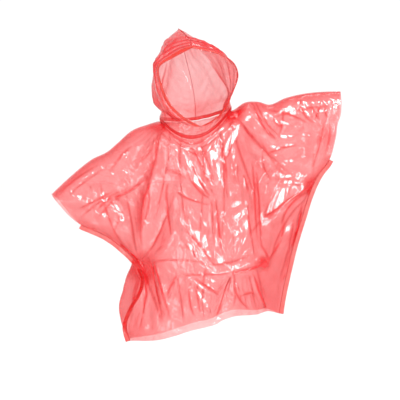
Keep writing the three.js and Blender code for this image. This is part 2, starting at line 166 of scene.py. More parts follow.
# Outline: points from the lowered cuff at 0 to the raised one at 1, and from the top down.
topEdge = table(
    "at x z",
    (0.00, -370, -180), (0.07, -322, -135), (0.14, -272, -95), (0.20, -232, -75),
    (0.24, -208, -55), (0.30, -170, -22), (0.35, -132, -7), (0.39, -100, 2),
    (0.61, 78, 28), (0.66, 112, 48), (0.71, 145, 50), (0.755, 175, 43),
    (0.81, 212, 59), (0.87, 258, 70), (0.94, 305, 75), (1.00, 350, 76),
)

leftEdge = table(
    "at x y z",
    (0.00, -370, -6, -180), (0.08, -345, -8, -209), (0.15, -325, -8, -233),
    (0.216, -297, -6, -257), (0.28, -270, -4, -269), (0.34, -238, 0, -284),
    (0.41, -211, 0, -302), (0.48, -186, -4, -323), (0.55, -163, -12, -346),
    (0.61, -147, -20, -368), (0.67, -140, -25, -396), (0.74, -148, -26, -430),
    (0.82, -170, -18, -468), (0.91, -184, -8, -512), (1.00, -176, 0, -548),
)

rightEdge = table(
    "at x y z",
    (0.00, 350, -4, 76), (0.07, 350, -6, 22), (0.11, 342, -6, -6), (0.15, 338, -6, -38),
    (0.216, 323, -4, -94), (0.28, 299, 0, -128), (0.34, 283, 0, -158), (0.40, 269, 0, -194),
    (0.47, 255, 0, -240), (0.56, 236, 0, -302), (0.67, 220, 2, -368), (0.80, 207, 4, -428),
    (0.90, 202, 6, -457), (1.00, 199, 8, -480),
)

hemEdge = table(
    "at x z",
    (0.00, -176, -548), (0.20, -108, -540), (0.34, -60, -526), (0.44, -28, -515),
    (0.58, 38, -498), (0.64, 55, -488), (0.72, 88, -478), (0.86, 140, -477),
    (0.93, 168, -471), (1.00, 199, -480),
)

bodyDepth = table(
    "z front back halfWidth x",
    (-560, 104, 100, 210, 0), (-430, 96, 92, 195, 20), (-300, 88, 84, 170, 20),
    (-180, 84, 76, 140, 8), (-80, 80, 70, 118, -6), (30, 70, 62, 108, -11),
)

# Largest folds: a ridge, or a trough where the rise is below 0, through three points.
ridgeColumns = "x1 z1 x2 z2 x3 z3 rise width"
frontFolds = table(
    ridgeColumns,
    (-118, -120, -140, -235, -152, -352, 11, 17), (-80, -170, -96, -260, -128, -330, -9, 18),
    (-138, -374, -100, -410, -74, -482, 11, 16), (-60, -262, -86, -318, -136, -358, 8, 15),
    (-34, -300, -10, -332, 12, -362, 7, 14), (268, -168, 214, -222, 160, -262, 11, 16),
    (262, -186, 208, -268, 172, -336, -9, 16), (252, -214, 238, -270, 226, -330, 8, 14),
    (70, -378, 116, -372, 166, -345, 10, 13), (66, -384, 54, -430, 40, -486, -12, 14),
    (96, -384, 88, -432, 84, -476, 9, 14), (128, -384, 146, -424, 156, -468, 9, 13),
    (36, -170, 44, -250, 38, -340, 6, 13), (-36, -104, -12, -140, 22, -186, 6, 11),
    (14, -78, 40, -120, 62, -196, 7, 12), (-92, -24, -128, -68, -170, -150, 9, 13),
    (84, 4, 118, -44, 190, -96, 9, 13), (300, 30, 306, -30, 296, -96, 6, 11),
    (-330, -190, -282, -206, -236, -246, 7, 12), (-262, -150, -214, -190, -160, -262, -8, 14),
    (-20, -400, -34, -450, -40, -512, 9, 15), (-120, -400, -128, -460, -122, -536, -8, 14),
)

backFolds = table(
    ridgeColumns,
    (-100, -60, -136, -190, -150, -340, 12, 16), (-60, -90, -84, -230, -140, -352, -10, 15),
    (-142, -374, -118, -430, -112, -530, 10, 16), (92, -40, 150, -130, 262, -178, 12, 15),
    (70, -80, 140, -210, 240, -252, -9, 15), (120, -260, 176, -268, 232, -300, 8, 14),
    (-30, -120, -42, -260, -20, -400, 8, 16), (40, -150, 62, -280, 40, -420, 8, 16),
    (20, -400, 8, -460, 16, -500, -10, 16), (110, -380, 120, -430, 132, -474, 9, 14),
    (-70, -420, -62, -470, -68, -520, 8, 15), (-320, -196, -260, -214, -216, -280, 8, 13),
    (292, 24, 286, -40, 272, -120, 7, 12),
)

topCurve = curveThrough(topEdge, "at")
leftCurve = curveThrough(leftEdge, "at")
rightCurve = curveThrough(rightEdge, "at")
hemCurve = curveThrough(hemEdge, "at")
depthCurve = curveThrough(bodyDepth, "z")


def chainOf(curve, start, end, steps):
    points = curve(np.linspace(start, end, steps + 1))
    return points["x"], points["z"]


foldChains = [chainOf(topCurve, 0, neck["from"], 32), chainOf(topCurve, neck["to"], 1, 32)]
neckBridge = chainOf(topCurve, neck["from"], neck["to"], 1)
weldChains = [chainOf(leftCurve, cuffShare, 1, 40), chainOf(rightCurve, cuffShare, 1, 40)]


def neckEdge(turn, dip):
    x = neck["x"] + neck["halfWidth"] * np.sin(turn)
    z = neck["z"] + neck["slope"] * (x - neck["x"]) - dip * np.cos(turn) ** 2
    return x, z


def topOf(u, dip):
    top = topCurve(u)
    turn = math.pi * ((u - neck["from"]) / (neck["to"] - neck["from"]) - 0.5)
    nx, nz = neckEdge(turn, dip)
    inNeck = (u > neck["from"]) & (u < neck["to"])
    return {"x": np.where(inNeck, nx, top["x"]), "z": np.where(inNeck, nz, top["z"])}


def blendEdges(u, v, top, hem, left, right, corners, name):
    across = (1 - v) * top[name] + v * hem[name]
    down = (1 - u) * left[name] + u * right[name]
    shared = (1 - u) * (1 - v) * corners[0][name] + u * (1 - v) * corners[1][name]
    shared = shared + (1 - u) * v * corners[2][name] + u * v * corners[3][name]
    return across + down - shared


sheetCorners = [topCurve(0.0), topCurve(1.0), hemCurve(0.0), hemCurve(1.0)]


def foldHeight(folds, x, z):
    height = np.zeros(np.shape(x))
    for i in range(len(folds["rise"])):
        chain = [[folds[f"{axis}{k}"][i] for k in (1, 2, 3)] for axis in "xz"]
        distance, along = nearestOn(chain, x, z)
        ends = np.sqrt(np.sin(math.pi * np.clip(along, 0.02, 0.98)))
        height += folds["rise"][i] * ends * np.exp(-((distance / folds["width"][i]) ** 2))
    return height


def edgeDistances(x, z):
    chains = [*foldChains, neckBridge]
    fold = np.min([nearestOn(chain, x, z)[0] for chain in chains], axis=0)
    side = np.min([nearestOn(chain, x, z)[0] for chain in weldChains], axis=0)
    return fold, side


sleeve = {
    "radius": 35,  # sleeve over the arm, below its top fold
    "webDepth": 15,
    "webDrop": 75,
    "leftCuffExtra": 12,
    "rightCuffExtra": -5,
    "shoulderRadius": 74,
    "weldOpening": 0.62,
    "weldCurve": 1.35,  # how abruptly the sheets part beside a weld
    "bodyEdge": 5,  # how abruptly the body's depth gives way to the wing's
    "wallReach": 6,  # from the top fold to where the sheets stand a wall apart
    "foldReach": 24,  # folds die away this near the top fold, and this near a weld
    "weldReach": 40,
}


def sheetDepth(x, z, side):
    fold, edge = edgeDistances(x, z)
    body = depthCurve(z)
    nearBody = 1 / (1 + np.abs((x - body["x"]) / body["halfWidth"]) ** sleeve["bodyEdge"])
    leftExtra = sleeve["leftCuffExtra"] * np.abs(x / topEdge["x"][0]) ** 3
    rightExtra = sleeve["rightCuffExtra"] * np.abs(x / topEdge["x"][-1]) ** 3
    cuffExtra = np.where(x < 0, leftExtra, rightExtra)
    hang = (sleeve["radius"] - sleeve["webDepth"] + cuffExtra) * np.exp(-((fold / sleeve["webDrop"]) ** 3))
    full = sleeve["webDepth"] + hang
    full = full + (body[side] - full) * nearBody
    rounding = sleeve["radius"] + (sleeve["shoulderRadius"] - sleeve["radius"]) * nearBody
    overTop = np.sqrt(1 - (1 - np.minimum(fold / rounding, 1)) ** 2)
    offWeld = 1 - np.exp(-((edge / (sleeve["weldOpening"] * full)) ** sleeve["weldCurve"]))
    gap = cut["seamGap"] / 2 + cut["solidWall"] / 2 * np.minimum(fold / sleeve["wallReach"], 1)
    folds = foldHeight(frontFolds if side == "front" else backFolds, x, z)
    freedom = np.minimum(fold / sleeve["foldReach"], 1) * np.minimum(edge / sleeve["weldReach"], 1)
    return gap + full * overTop * offWeld + folds * freedom


# rings round the collar
collarWave = {"rise": 3.2, "pitch": 15, "reach": 42, "startFade": 12}


def collarRise(x, z):
    chain = neckEdge(np.radians(np.arange(-90, 91, 15)), neck["frontDip"])
    near = nearestOn(chain, x, z)[0]
    fade = np.maximum(0, 1 - near / collarWave["reach"])
    return collarWave["rise"] * fade * (1 - np.cos(2 * math.pi * near / collarWave["pitch"]))


# where the back sheet billows out past the weld on the lowered side
backPouch = {"out": 68, "back": 52, "u": 0.07, "z": -405, "reachUp": 73, "reachDown": 130}


def pouchShare(z):
    reach = np.where(z > backPouch["z"], backPouch["reachUp"], backPouch["reachDown"])
    return np.exp(-(((z - backPouch["z"]) / reach) ** 2))


def sheetBase(u, v, side):
    front = side == "front"
    top = topOf(u, neck["frontDip"] if front else neck["backDip"])
    left, right, hem = leftCurve(v), rightCurve(v), hemCurve(u)
    x = blendEdges(u, v, top, hem, left, right, sheetCorners, "x")
    z = blendEdges(u, v, top, hem, left, right, sheetCorners, "z")
    middle = (1 - u) * left["y"] + u * right["y"]
    depth = sheetDepth(x, z, side)
    if front:
        depth = depth + collarRise(x, z) * np.minimum(v * collarWave["startFade"], 1)
        return np.stack([x, middle - depth, z], axis=-1)
    swell = (u / backPouch["u"]) * np.exp(1 - u / backPouch["u"])
    share = pouchShare(z) * swell
    x = x - backPouch["out"] * share * swell
    return np.stack([x, middle + depth + backPouch["back"] * share, z], axis=-1)


# Sharp creases that the film keeps, through three points: rise outwards in mm, and how far the flanks run.
frontCreases = table(
    ridgeColumns,
    # rings below the collar
    (-86, -16, -12, -54, 66, 6, 3.0, 4), (-72, -34, -8, -66, 58, -14, -2.6, 4),
    (-52, -56, 0, -80, 44, -44, 2.6, 4),
    # chest: long streaks that run down from the collar
    (-18, -66, 8, -118, 34, -184, 4.5, 7), (2, -56, 20, -104, 36, -160, -3.5, 6),
    (-36, -110, -8, -160, 22, -186, 4.5, 7), (-20, -96, 2, -150, 24, -182, -3.0, 5),
    (48, -34, 58, -84, 66, -150, 4.0, 7), (70, -22, 76, -62, 58, -94, -3.0, 6),
    (92, -104, 88, -124, 86, -146, 3.0, 4), (106, -130, 112, -150, 118, -176, 3.0, 4),
    (40, -188, 46, -252, 58, -334, -4.0, 7), (28, -190, 30, -230, 36, -300, 3.0, 6),
    (-34, -268, 0, -306, 30, -346, 4.0, 5), (-36, -300, -12, -326, 12, -352, -3.0, 5),
    (-64, -164, -30, -188, 26, -204, 3.5, 7), (-88, -120, -60, -124, -32, -142, 3.0, 6),
    (-78, -150, -84, -200, -70, -282, -4.0, 9), (128, -96, 134, -190, 140, -288, 3.0, 6),
    (140, -120, 148, -210, 152, -322, -3.0, 6), (116, -196, 122, -262, 136, -338, 2.6, 5),
    # lowered wing
    (-120, -148, -138, -206, -146, -306, 4.5, 6), (-130, -150, -126, -196, -142, -262, -3.5, 5),
    (-138, -144, -176, -172, -216, -188, 5.0, 7), (-216, -188, -238, -200, -252, -218, 4.0, 6),
    (-250, -236, -230, -212, -206, -190, -3.0, 5), (-214, -272, -200, -240, -186, -214, 2.6, 6),
    (-200, -300, -176, -322, -152, -346, 3.5, 6), (-300, -214, -262, -196, -214, -170, 2.6, 7),
    (-346, -176, -300, -138, -246, -104, 2.0, 6), (-168, -60, -196, -86, -226, -128, 2.6, 8),
    (-112, -36, -122, -70, -150, -100, 3.0, 7), (-102, -16, -108, -60, -112, -118, -3.0, 6),
    # raised wing
    (126, 58, 152, -4, 188, -42, 4.5, 6), (136, 56, 164, 0, 196, -34, -3.0, 5),
    (178, 12, 196, -10, 206, 4, 3.0, 5), (206, 34, 204, -4, 196, -40, -3.0, 5),
    (168, 26, 222, 18, 268, -4, 3.0, 8), (248, 62, 256, 22, 284, -2, 3.5, 6),
    (270, 48, 284, 24, 296, 4, -3.0, 5), (302, 52, 292, 22, 284, 6, 3.0, 5),
    (316, 48, 308, 24, 322, 12, 2.6, 5), (160, -84, 196, -68, 242, -56, 3.0, 6),
    (156, -72, 158, -112, 178, -148, 2.6, 6), (280, -158, 240, -182, 162, -244, 4.5, 6),
    (274, -172, 226, -206, 206, -256, -4.0, 6), (206, -256, 196, -300, 160, -350, 4.0, 6),
    (254, -206, 244, -260, 230, -340, 3.5, 5), (232, -230, 222, -300, 196, -400, 2.6, 6),
    (150, -300, 164, -330, 172, -352, 3.0, 5), (306, 0, 300, -40, 282, -110, 2.6, 5),
    (324, -6, 322, -40, 312, -84, -2.6, 5),
    # below the waist
    (-114, -342, -98, -398, -72, -486, 5.0, 6), (-124, -346, -112, -404, -92, -496, -3.5, 6),
    (-146, -370, -150, -404, -186, -462, 5.0, 7), (-140, -376, -136, -430, -152, -520, -3.5, 7),
    (-56, -376, -70, -404, -82, -432, 3.5, 5), (-56, -376, 20, -374, 74, -372, 3.0, 6),
    (-14, -384, 18, -404, 44, -424, 4.0, 5), (-22, -392, -26, -440, -12, -478, 3.5, 6),
    (-6, -396, -6, -430, 2, -470, -3.0, 5), (76, -374, 118, -364, 158, -350, 5.0, 5),
    (74, -380, 58, -424, 40, -478, 5.0, 6), (84, -384, 92, -430, 122, -462, 3.0, 6),
    (132, -376, 146, -424, 164, -466, 5.0, 5), (122, -376, 130, -420, 140, -462, -3.0, 5),
    (96, -430, 116, -422, 134, -424, 3.0, 4),
)

backCreases = table(
    ridgeColumns,
    (-92, 0, -112, -90, -142, -210, 4.0, 7), (-76, -10, -86, -120, -120, -260, -3.5, 7),
    (-40, -4, -50, -120, -30, -300, 3.0, 8), (0, 0, 8, -140, -6, -330, -3.0, 8),
    (44, 10, 60, -120, 56, -300, 3.5, 7), (70, 18, 104, -90, 150, -220, 4.0, 7),
    (86, 22, 150, -60, 250, -150, 4.0, 7), (150, -40, 200, -120, 270, -170, -3.0, 6),
    (272, -176, 200, -210, 120, -290, 4.0, 6), (262, -196, 210, -260, 170, -370, 3.5, 6),
    (250, -220, 236, -300, 214, -400, -3.0, 6), (-150, -350, -110, -300, -70, -200, 4.0, 7),
    (-160, -330, -170, -260, -190, -160, 3.5, 7), (-190, -310, -230, -240, -250, -150, 3.0, 7),
    (-144, -364, -80, -350, 0, -356, 3.5, 7), (0, -356, 60, -360, 130, -336, -3.0, 7),
    (-146, -376, -120, -440, -96, -520, 4.5, 7), (-150, -384, -164, -440, -176, -500, 4.0, 7),
    (-60, -380, -50, -440, -40, -510, -3.5, 7), (16, -370, 6, -430, 10, -500, 4.0, 6),
    (80, -364, 90, -420, 84, -474, 4.0, 6), (140, -350, 150, -410, 166, -468, 3.5, 6),
    (-330, -186, -290, -150, -230, -110, 2.6, 7), (-300, -240, -250, -200, -190, -170, 3.0, 7),
    (320, 40, 250, 30, 180, 10, 3.0, 8), (318, -30, 290, -70, 284, -140, 3.0, 6),
)

# Fans: small pleats that spread from a gathered place. Angles are in degrees, 0 towards +X, 90 up.
fanColumns = "x z from to pleats reach rise"
frontFans = table(
    fanColumns,
    (-145, -364, 20, 165, 15, 95, 1.5), (-145, -364, 215, 330, 11, 90, 1.5),
    (286, -158, 135, 262, 14, 110, 1.4), (-101, -2, 200, 300, 10, 90, 1.4),
    (80, 22, 235, 350, 10, 90, 1.4), (158, -352, 100, 300, 14, 60, 1.0),
    (76, -374, 190, 350, 13, 60, 1.0), (322, -92, 85, 190, 10, 90, 0.9),
    (-298, -250, 5, 100, 9, 90, 0.9),
)
backFans = table(
    fanColumns,
    (-145, -364, 10, 170, 15, 110, 1.6), (-145, -364, 215, 340, 12, 100, 1.6),
    (286, -158, 130, 262, 14, 120, 1.5), (-101, -2, 200, 320, 12, 110, 1.5),
    (80, 22, 215, 350, 12, 110, 1.5), (322, -92, 85, 190, 10, 90, 0.9),
    (-298, -250, 5, 100, 9, 90, 0.9),
)

# Crumpled places: facets of this size, whose long way leans by this angle from level, in degrees.
crumpleColumns = "x z reach size lean rise"
frontCrumples = table(
    crumpleColumns,
    (30, -110, 95, 22, 14, 0.022), (0, -270, 110, 30, 20, 0.018),
    (-190, -120, 90, 22, 50, 0.07), (-300, -190, 70, 24, 50, 0.05),
    (210, 10, 110, 20, -65, 0.06), (300, 20, 70, 14, -50, 0.07),
    (210, -160, 120, 38, 30, 0.02), (-20, -430, 80, 15, 40, 0.10),
    (110, -420, 60, 12, 30, 0.10), (-150, -420, 90, 26, 15, 0.06),
)
backCrumples = table(
    crumpleColumns,
    (-60, -120, 120, 24, 10, 0.06), (60, -240, 140, 26, -10, 0.06),
    (-220, -140, 110, 24, 50, 0.06), (220, -20, 130, 24, -60, 0.06),
    (0, -440, 140, 22, 5, 0.08), (180, -240, 120, 30, 30, 0.05),
)


# Flat facets between creases, where the film shines as one patch: from end to end, and their width.
glintColumns = "x1 z1 x2 z2 width"
glint = {
    "softEdge": 3.0,
    "front": (0.14, 0.18),  # how far the facets lean towards +X and up
    "back": (0.2, -0.14),
    "lift": 7.0,  # most that a facet's ends leave the sheet
    "inside": 0.4, "fewest": 5,  # which points count as a facet's own, and how many it needs
}
frontGlints = table(
    glintColumns,
    # chest
    (3, -57, 37, -186, 9), (33, -80, 66, -190, 19), (-36, -110, 26, -190, 13), (-15, -70, 0, -126, 6),
    (50, -98, 100, -2, 24), (16, -58, 46, -100, 19), (80, -56, 84, -98, 13), (84, -107, 93, -151, 7),
    (106, -138, 115, -170, 6),
    # belly and hips
    (-37, -268, -35, -322, 5), (-36, -290, 14, -360, 18), (-33, -272, 40, -358, 7),
    (72, -306, 106, -298, 5),
    (-34, -380, 26, -420, 18), (-14, -398, 26, -470, 16), (76, -380, 42, -474, 10), (132, -376, 160, -462, 6),
    (94, -398, 112, -444, 8), (-62, -392, -80, -436, 6),
    # raised wing and sleeve
    (160, -232, 226, -158, 28), (172, -174, 216, -162, 7), (208, -320, 228, -306, 8),
    (125, 20, 188, -46, 6), (138, 24, 198, -36, 5), (180, 16, 198, -8, 9), (200, 12, 218, 20, 6),
    (220, 4, 242, -4, 7), (252, 34, 280, 8, 11), (296, 54, 322, 36, 9), (316, 62, 336, 48, 6),
    # lowered wing and sleeve
    (-272, -156, -250, -196, 12), (-252, -188, -230, -202, 6), (-104, -20, -120, -52, 6),
    (-196, -112, -178, -132, 8), (-152, -346, -138, -362, 6), (-306, -176, -292, -196, 7),
)
backGlints = table(
    glintColumns,
    (-40, -60, -52, -170, 12), (10, -90, 2, -210, 10), (60, -50, 76, -130, 12), (-96, -180, -110, -250, 9),
    (30, -260, 24, -330, 12), (120, -150, 150, -200, 14), (200, -160, 226, -190, 12),
    (150, -20, 190, -40, 9), (250, 20, 290, -10, 10), (-180, -130, -210, -190, 12),
    (-260, -150, -280, -190, 8), (-70, -420, -64, -480, 9), (40, -400, 34, -470, 12),
    (110, -380, 116, -440, 8), (-130, -420, -140, -480, 9), (-20, -370, 30, -366, 7),
)


def pressGlints(points, glints, slopes):
    # each facet keeps the sheet's run along its length and leans evenly across its width
    x, y, z = points[..., 0], points[..., 1].copy(), points[..., 2]
    for i in range(len(glints["width"])):
        dx, dz = glints["x2"][i] - glints["x1"][i], glints["z2"][i] - glints["z1"][i]
        length = math.hypot(dx, dz)
        fromX, fromZ = x - glints["x1"][i] - dx / 2, z - glints["z1"][i] - dz / 2
        along = (fromX * dx + fromZ * dz) / length
        across = (fromX * dz - fromZ * dx) / length
        slope = (slopes[0] * dz - slopes[1] * dx) / length
        taper = glints["width"][i] / 2 * (1 - (2 * along / length) ** 2)
        weight = np.clip((taper - np.abs(across)) / glint["softEdge"] + 0.5, 0, 1)
        weight *= np.abs(along) < length / 2
        inside = weight > glint["inside"]
        if np.count_nonzero(inside) > glint["fewest"]:
            bend, lean, middle = np.polyfit(along[inside], y[inside], 2)
            most = 2 * glint["lift"] / length
            wanted = (slopes[0] * dx + slopes[1] * dz) / length
            lean += np.clip(wanted - lean, -most, most)
            y += weight * (bend / 2 * along**2 + lean * along + middle + slope * across - y)
    return np.stack([x, y, z], axis=-1)


creaseShape = {
    "crestRadius": 1.2, "endFade": 0.7,
    "endWidth": 0.6, "middleWidth": 0.8,  # a crease's width at its ends, and what its middle adds
    "creaseShadeWidth": 2.1, "creaseShadeRise": 5,
}


def creaseHeight(creases, x, z):
    # a crest with a small radius and flanks that die away, fading to nothing at its ends;
    # painted shade: a deeper red is painted along the sharper crests, where film seen edge-on in a fold looks
    # darker
    height = np.zeros(np.shape(x))
    creaseShade = np.zeros(np.shape(x))
    for i in range(len(creases["rise"])):
        start, middle, end = ([creases[f"{axis}{k}"][i] for axis in "xz"] for k in (1, 2, 3))
        t = np.linspace(0, 1, 9)[:, None]
        bend = np.array(middle) * 2 - (np.array(start) + np.array(end)) / 2
        path = (1 - t) ** 2 * start + 2 * t * (1 - t) * bend + t**2 * end
        distance, along = nearestOn(path.T, x, z)
        swell = creaseShape["endWidth"] + creaseShape["middleWidth"] * np.sin(math.pi * along)
        crest = np.sqrt(distance**2 + creaseShape["crestRadius"]**2) - creaseShape["crestRadius"]
        ends = np.sin(math.pi * np.clip(along, 0, 1)) ** creaseShape["endFade"]
        height += creases["rise"][i] * ends * np.exp(-crest / (creases["width"][i] * swell))
        shadeStrength = abs(creases["rise"][i]) / creaseShape["creaseShadeRise"]
        creaseShade += shadeStrength * ends * np.exp(-((distance / creaseShape["creaseShadeWidth"]) ** 2))
    return height, np.clip(creaseShade, 0, 1)


fanShape = {
    "flatReach": 55, "sideFade": 0.6,
    "swaySeed": 300, "swaySize": 34, "sway": 0.5, "bend": 0.3, "bends": 7,  # how the pleats wander
    "unevenSeed": 400, "unevenSize": 0.4, "uneven": 0.5, "least": 0.8,  # how their heights differ
}


def fanHeight(fans, x, z):
    height = np.zeros(np.shape(x))
    for i in range(len(fans["rise"])):
        dx, dz = x - fans["x"][i], z - fans["z"][i]
        reach = np.hypot(dx, dz)
        middle = math.radians((fans["from"][i] + fans["to"][i]) / 2)
        half = math.radians((fans["to"][i] - fans["from"][i]) / 2)
        turn = (np.arctan2(dz, dx) - middle + math.pi) % (2 * math.pi) - math.pi
        share = np.clip(turn / half, -1, 1)
        sway = fanShape["sway"] * cloud(fanShape["swaySeed"] + i, fanShape["swaySize"], x, z)
        bend = fanShape["bend"] * np.sin(fanShape["bends"] * share)
        wave = triangle(share * fans["pleats"][i] / 2 + sway + bend)
        uneven = cloud(fanShape["unevenSeed"] + i, fanShape["unevenSize"], share, share * 0)
        strength = uneven * fanShape["uneven"] + fanShape["least"]
        fade = np.cos(math.pi / 2 * share) ** fanShape["sideFade"]
        fade = fade * np.minimum(reach / fanShape["flatReach"], 1)
        height += fans["rise"][i] * wave * strength * fade * np.exp(-((reach / fans["reach"][i]) ** 2))
    return height


crumpleShape = {"gain": 2.2, "spread": 0.45}


def crumpleHeight(spots, x, z, seed):
    height = np.zeros(np.shape(x))
    for i in range(len(spots["rise"])):
        fade = np.exp(-((x - spots["x"][i]) ** 2 + (z - spots["z"][i]) ** 2) / spots["reach"][i] ** 2)
        lean = math.radians(spots["lean"][i])
        facets = crumple(seed + 10 * i, x, z, spots["size"][i], lean, crumpleShape["spread"])
        height += crumpleShape["gain"] * spots["rise"][i] * fade * facets
    return height


def normalsOf(points, closed=False, outwards=1):
    if closed:
        across = np.roll(points, -1, axis=0) - np.roll(points, 1, axis=0)
    else:
        across = np.gradient(points, axis=0)
    normals = np.cross(np.gradient(points, axis=1), across) * outwards
    return normals / np.linalg.norm(normals, axis=-1, keepdims=True)


# What crosses a whole sheet besides its folds: slight facets and slow waves, with each side's seeds.
overall = {
    "facets": 0.034, "facetSize": 26, "facetLean": 0.3, "facetSpread": 1.2,
    "waves": 1.2, "waveSize": 46, "foldFade": 14, "weldFade": 16,
}
seeds = {
    "front": {"crumples": 11, "facets": 77, "waves": 87},
    "back": {"crumples": 211, "facets": 78, "waves": 88},
}


def makeSheet(side):
    columns = np.concatenate([
        np.linspace(0, neck["from"], cut["sleeveColumns"] + 1),
        np.linspace(neck["from"], neck["to"], cut["neckColumns"] + 1)[1:],
        np.linspace(neck["to"], 1, cut["sleeveColumns"] + 1)[1:],
    ])
    rows = np.linspace(0, 1, cut["rows"] + 1) ** cut["rowSpread"]
    u, v = np.meshgrid(columns, rows, indexing="ij")
    points = sheetBase(u, v, side)
    outwards = 1 if side == "front" else -1
    normals = normalsOf(points, outwards=outwards)
    x, z = points[..., 0], points[..., 2]
    front = side == "front"
    fold, edge = edgeDistances(x, z)
    free = np.minimum(fold / overall["foldFade"], 1) * np.minimum(edge / overall["weldFade"], 1)
    height, creaseShade = creaseHeight(frontCreases if front else backCreases, x, z)
    height += fanHeight(frontFans if front else backFans, x, z)
    height += crumpleHeight(frontCrumples if front else backCrumples, x, z, seeds[side]["crumples"])
    height += overall["facets"] * crumple(
        seeds[side]["facets"], x, z, overall["facetSize"], overall["facetLean"], overall["facetSpread"])
    height += overall["waves"] * cloud(seeds[side]["waves"], overall["waveSize"], x, z)
    points = points + normals * (height * free)[..., None]
    points = pressGlints(points, frontGlints if front else backGlints, glint[side])
    return points, normals, creaseShade


print("shaping the sheets")
frontPoints, frontNormals, frontCreaseShade = makeSheet("front")
backPoints, backNormals, backCreaseShade = makeSheet("back")


hood = {
    "rise": neck["band"] + cut["weldShell"] / 2 + 0.6,  # its foot lies in the bead on the neck weld
    "chin": 0.1,  # the front is closed up to this share of its height
    "brim": 0.05,  # the edge strip's share of each half
    "bulge": {"left": 9, "right": -20, "back": 9},
    "slack": 10,
    "slackAt": 0.15,
    "slackReach": 0.105,
    "loft": {"left": (-23, 2), "right": (16, 8)},  # fullness beside the crown seam, sideways and up
    "loftAt": 0.085,
    "loftStart": 4,
    "columns": 116,
    "rows": 128,
    "brimColumns": 7,
    "brimRows": 210,
    "brimLift": 1.4,
    "foldFade": 2.5,
    "facets": {"rise": 0.05, "seed": 500, "size": 15, "lean": 0.2, "spread": 0.5},
    "panes": {"rise": 0.03, "seed": 520, "size": 34, "lean": 0.9, "spread": 1.0},  # larger facets
}
# how fast relief comes in, away from the brim, the back seam, the neck and the crown seam
hoodFade = {"brimShare": 0.8, "brim": 14, "back": 14, "neck": 16, "crown": 14, "seam": 10}
brimPuckers = {"rise": 0.35, "seed": 71, "length": 330, "width": 60, "size": 9, "spread": 0.3, "most": 3}

leftBrim = table(
    "at x y z",
    (0.10, 2, -91, -11), (0.20, -38, -94, 12), (0.33, -70, -92, 42), (0.50, -92, -86, 88),
    (0.70, -99, -80, 134), (0.85, -62, -88, 158), (1.00, -20, -94, 180),
)

rightBrim = table(
    "at x y z",
    (0.10, 2, -91, -11), (0.20, 36, -90, 8), (0.33, 62, -84, 38), (0.47, 82, -76, 78),
    (0.61, 93, -70, 116), (0.73, 79, -76, 147), (0.87, 40, -88, 167), (1.00, -20, -94, 180),
)

crownSeam = table(
    "at x y z",
    (0.00, -20, -94, 180), (0.25, -25, -58, 201), (0.50, -34, -16, 215),
    (0.75, -46, 22, 228), (1.00, -55, 54, 236),
)

backSeam = table(
    "at x y z",
    (0.20, -13, 80, 52), (0.45, -22, 102, 106), (0.70, -36, 104, 162),
    (0.88, -48, 82, 210), (1.00, -55, 54, 236),
)

# Long narrow folds: places as shares of the half, from brim to back and neck to crown.
hoodColumns = "p1 q1 p2 q2 rise width"
leftHoodFolds = table(
    hoodColumns,
    (0.10, 0.04, 0.20, 0.86, 6, 0.055), (0.24, 0.03, 0.40, 0.90, -5, 0.050),
    (0.38, 0.03, 0.60, 0.88, 6, 0.060), (0.56, 0.04, 0.80, 0.80, -5, 0.060),
    (0.08, 0.78, 0.72, 0.94, 4, 0.045),
)
rightHoodFolds = table(
    hoodColumns,
    (0.14, 0.04, 0.26, 0.80, 5, 0.055), (0.32, 0.03, 0.50, 0.86, -5, 0.055),
    (0.52, 0.04, 0.74, 0.82, 5, 0.060), (0.08, 0.80, 0.78, 0.92, 4, 0.045),
)

# Sharper creases, in mm along the half: from the brim backwards, and up from the neck.
leftHoodCreases = table(
    ridgeColumns,
    (12, 8, 22, 90, 30, 190, 3.0, 4), (22, 6, 36, 100, 44, 200, -2.6, 4),
    (34, 6, 52, 90, 66, 196, 3.0, 4), (50, 6, 74, 80, 92, 180, -2.6, 5),
    (66, 6, 98, 84, 120, 170, 3.0, 5), (88, 8, 124, 80, 150, 160, -2.4, 6),
    (14, 188, 60, 214, 110, 226, 2.6, 3), (18, 176, 70, 204, 130, 218, -2.4, 3),
    (16, 200, 54, 226, 96, 236, 2.4, 3), (22, 160, 80, 190, 150, 206, 2.2, 4),
)
rightHoodCreases = table(
    ridgeColumns,
    (12, 8, 24, 80, 30, 160, 2.6, 4), (26, 6, 40, 90, 46, 170, -2.4, 4),
    (42, 6, 62, 80, 74, 166, 2.6, 5), (64, 6, 92, 80, 108, 160, -2.4, 5),
    (88, 6, 120, 76, 144, 150, 2.4, 6), (14, 196, 64, 216, 116, 226, 2.4, 3),
    (18, 184, 76, 204, 132, 214, -2.2, 3), (16, 208, 58, 228, 100, 236, 2.2, 3),
)
# Pleats that run with the brim and cross the crown seam: how far behind the brim, and their rise.
hoodPleats = table(ridgeColumns, *[
    (behind + 7, 160, behind, 245, behind + 7, 330, rise, 2.6)
    for behind, rise in (
        (16, 4.2), (23, -3.4), (31, 4.2), (40, -3.4), (50, 3.8), (62, -2.6), (76, 2.8), (96, -1.8))
])
hoodScale = {"along": 210, "up": 245}  # a half's rough size


def neckFoot(step):
    # the neck hole's edge: step runs from -1 to 1 round either side, 0 at the front middle
    first, last = cut["sleeveColumns"], cut["sleeveColumns"] + cut["neckColumns"]
    turns = np.linspace(-0.5, 0.5, cut["neckColumns"] + 1)
    onFront = np.abs(step) <= 0.5
    place = np.where(onFront, step, np.sign(step) * (1 - np.abs(step)))
    foot = []
    for axis in range(3):
        frontEdge = np.interp(place, turns, frontPoints[first:last + 1, 0, axis])
        backEdge = np.interp(place, turns, backPoints[first:last + 1, 0, axis])
        foot.append(np.where(onFront, frontEdge, backEdge))
    frontTilt = np.interp(place, turns, np.abs(frontNormals[first:last + 1, 0, 2]))
    backTilt = np.interp(place, turns, np.abs(backNormals[first:last + 1, 0, 2]))
    foot[2] = foot[2] + cut["seamGap"] + neck["standOff"] * np.where(onFront, frontTilt, backTilt)
    return np.stack(foot, axis=-1)


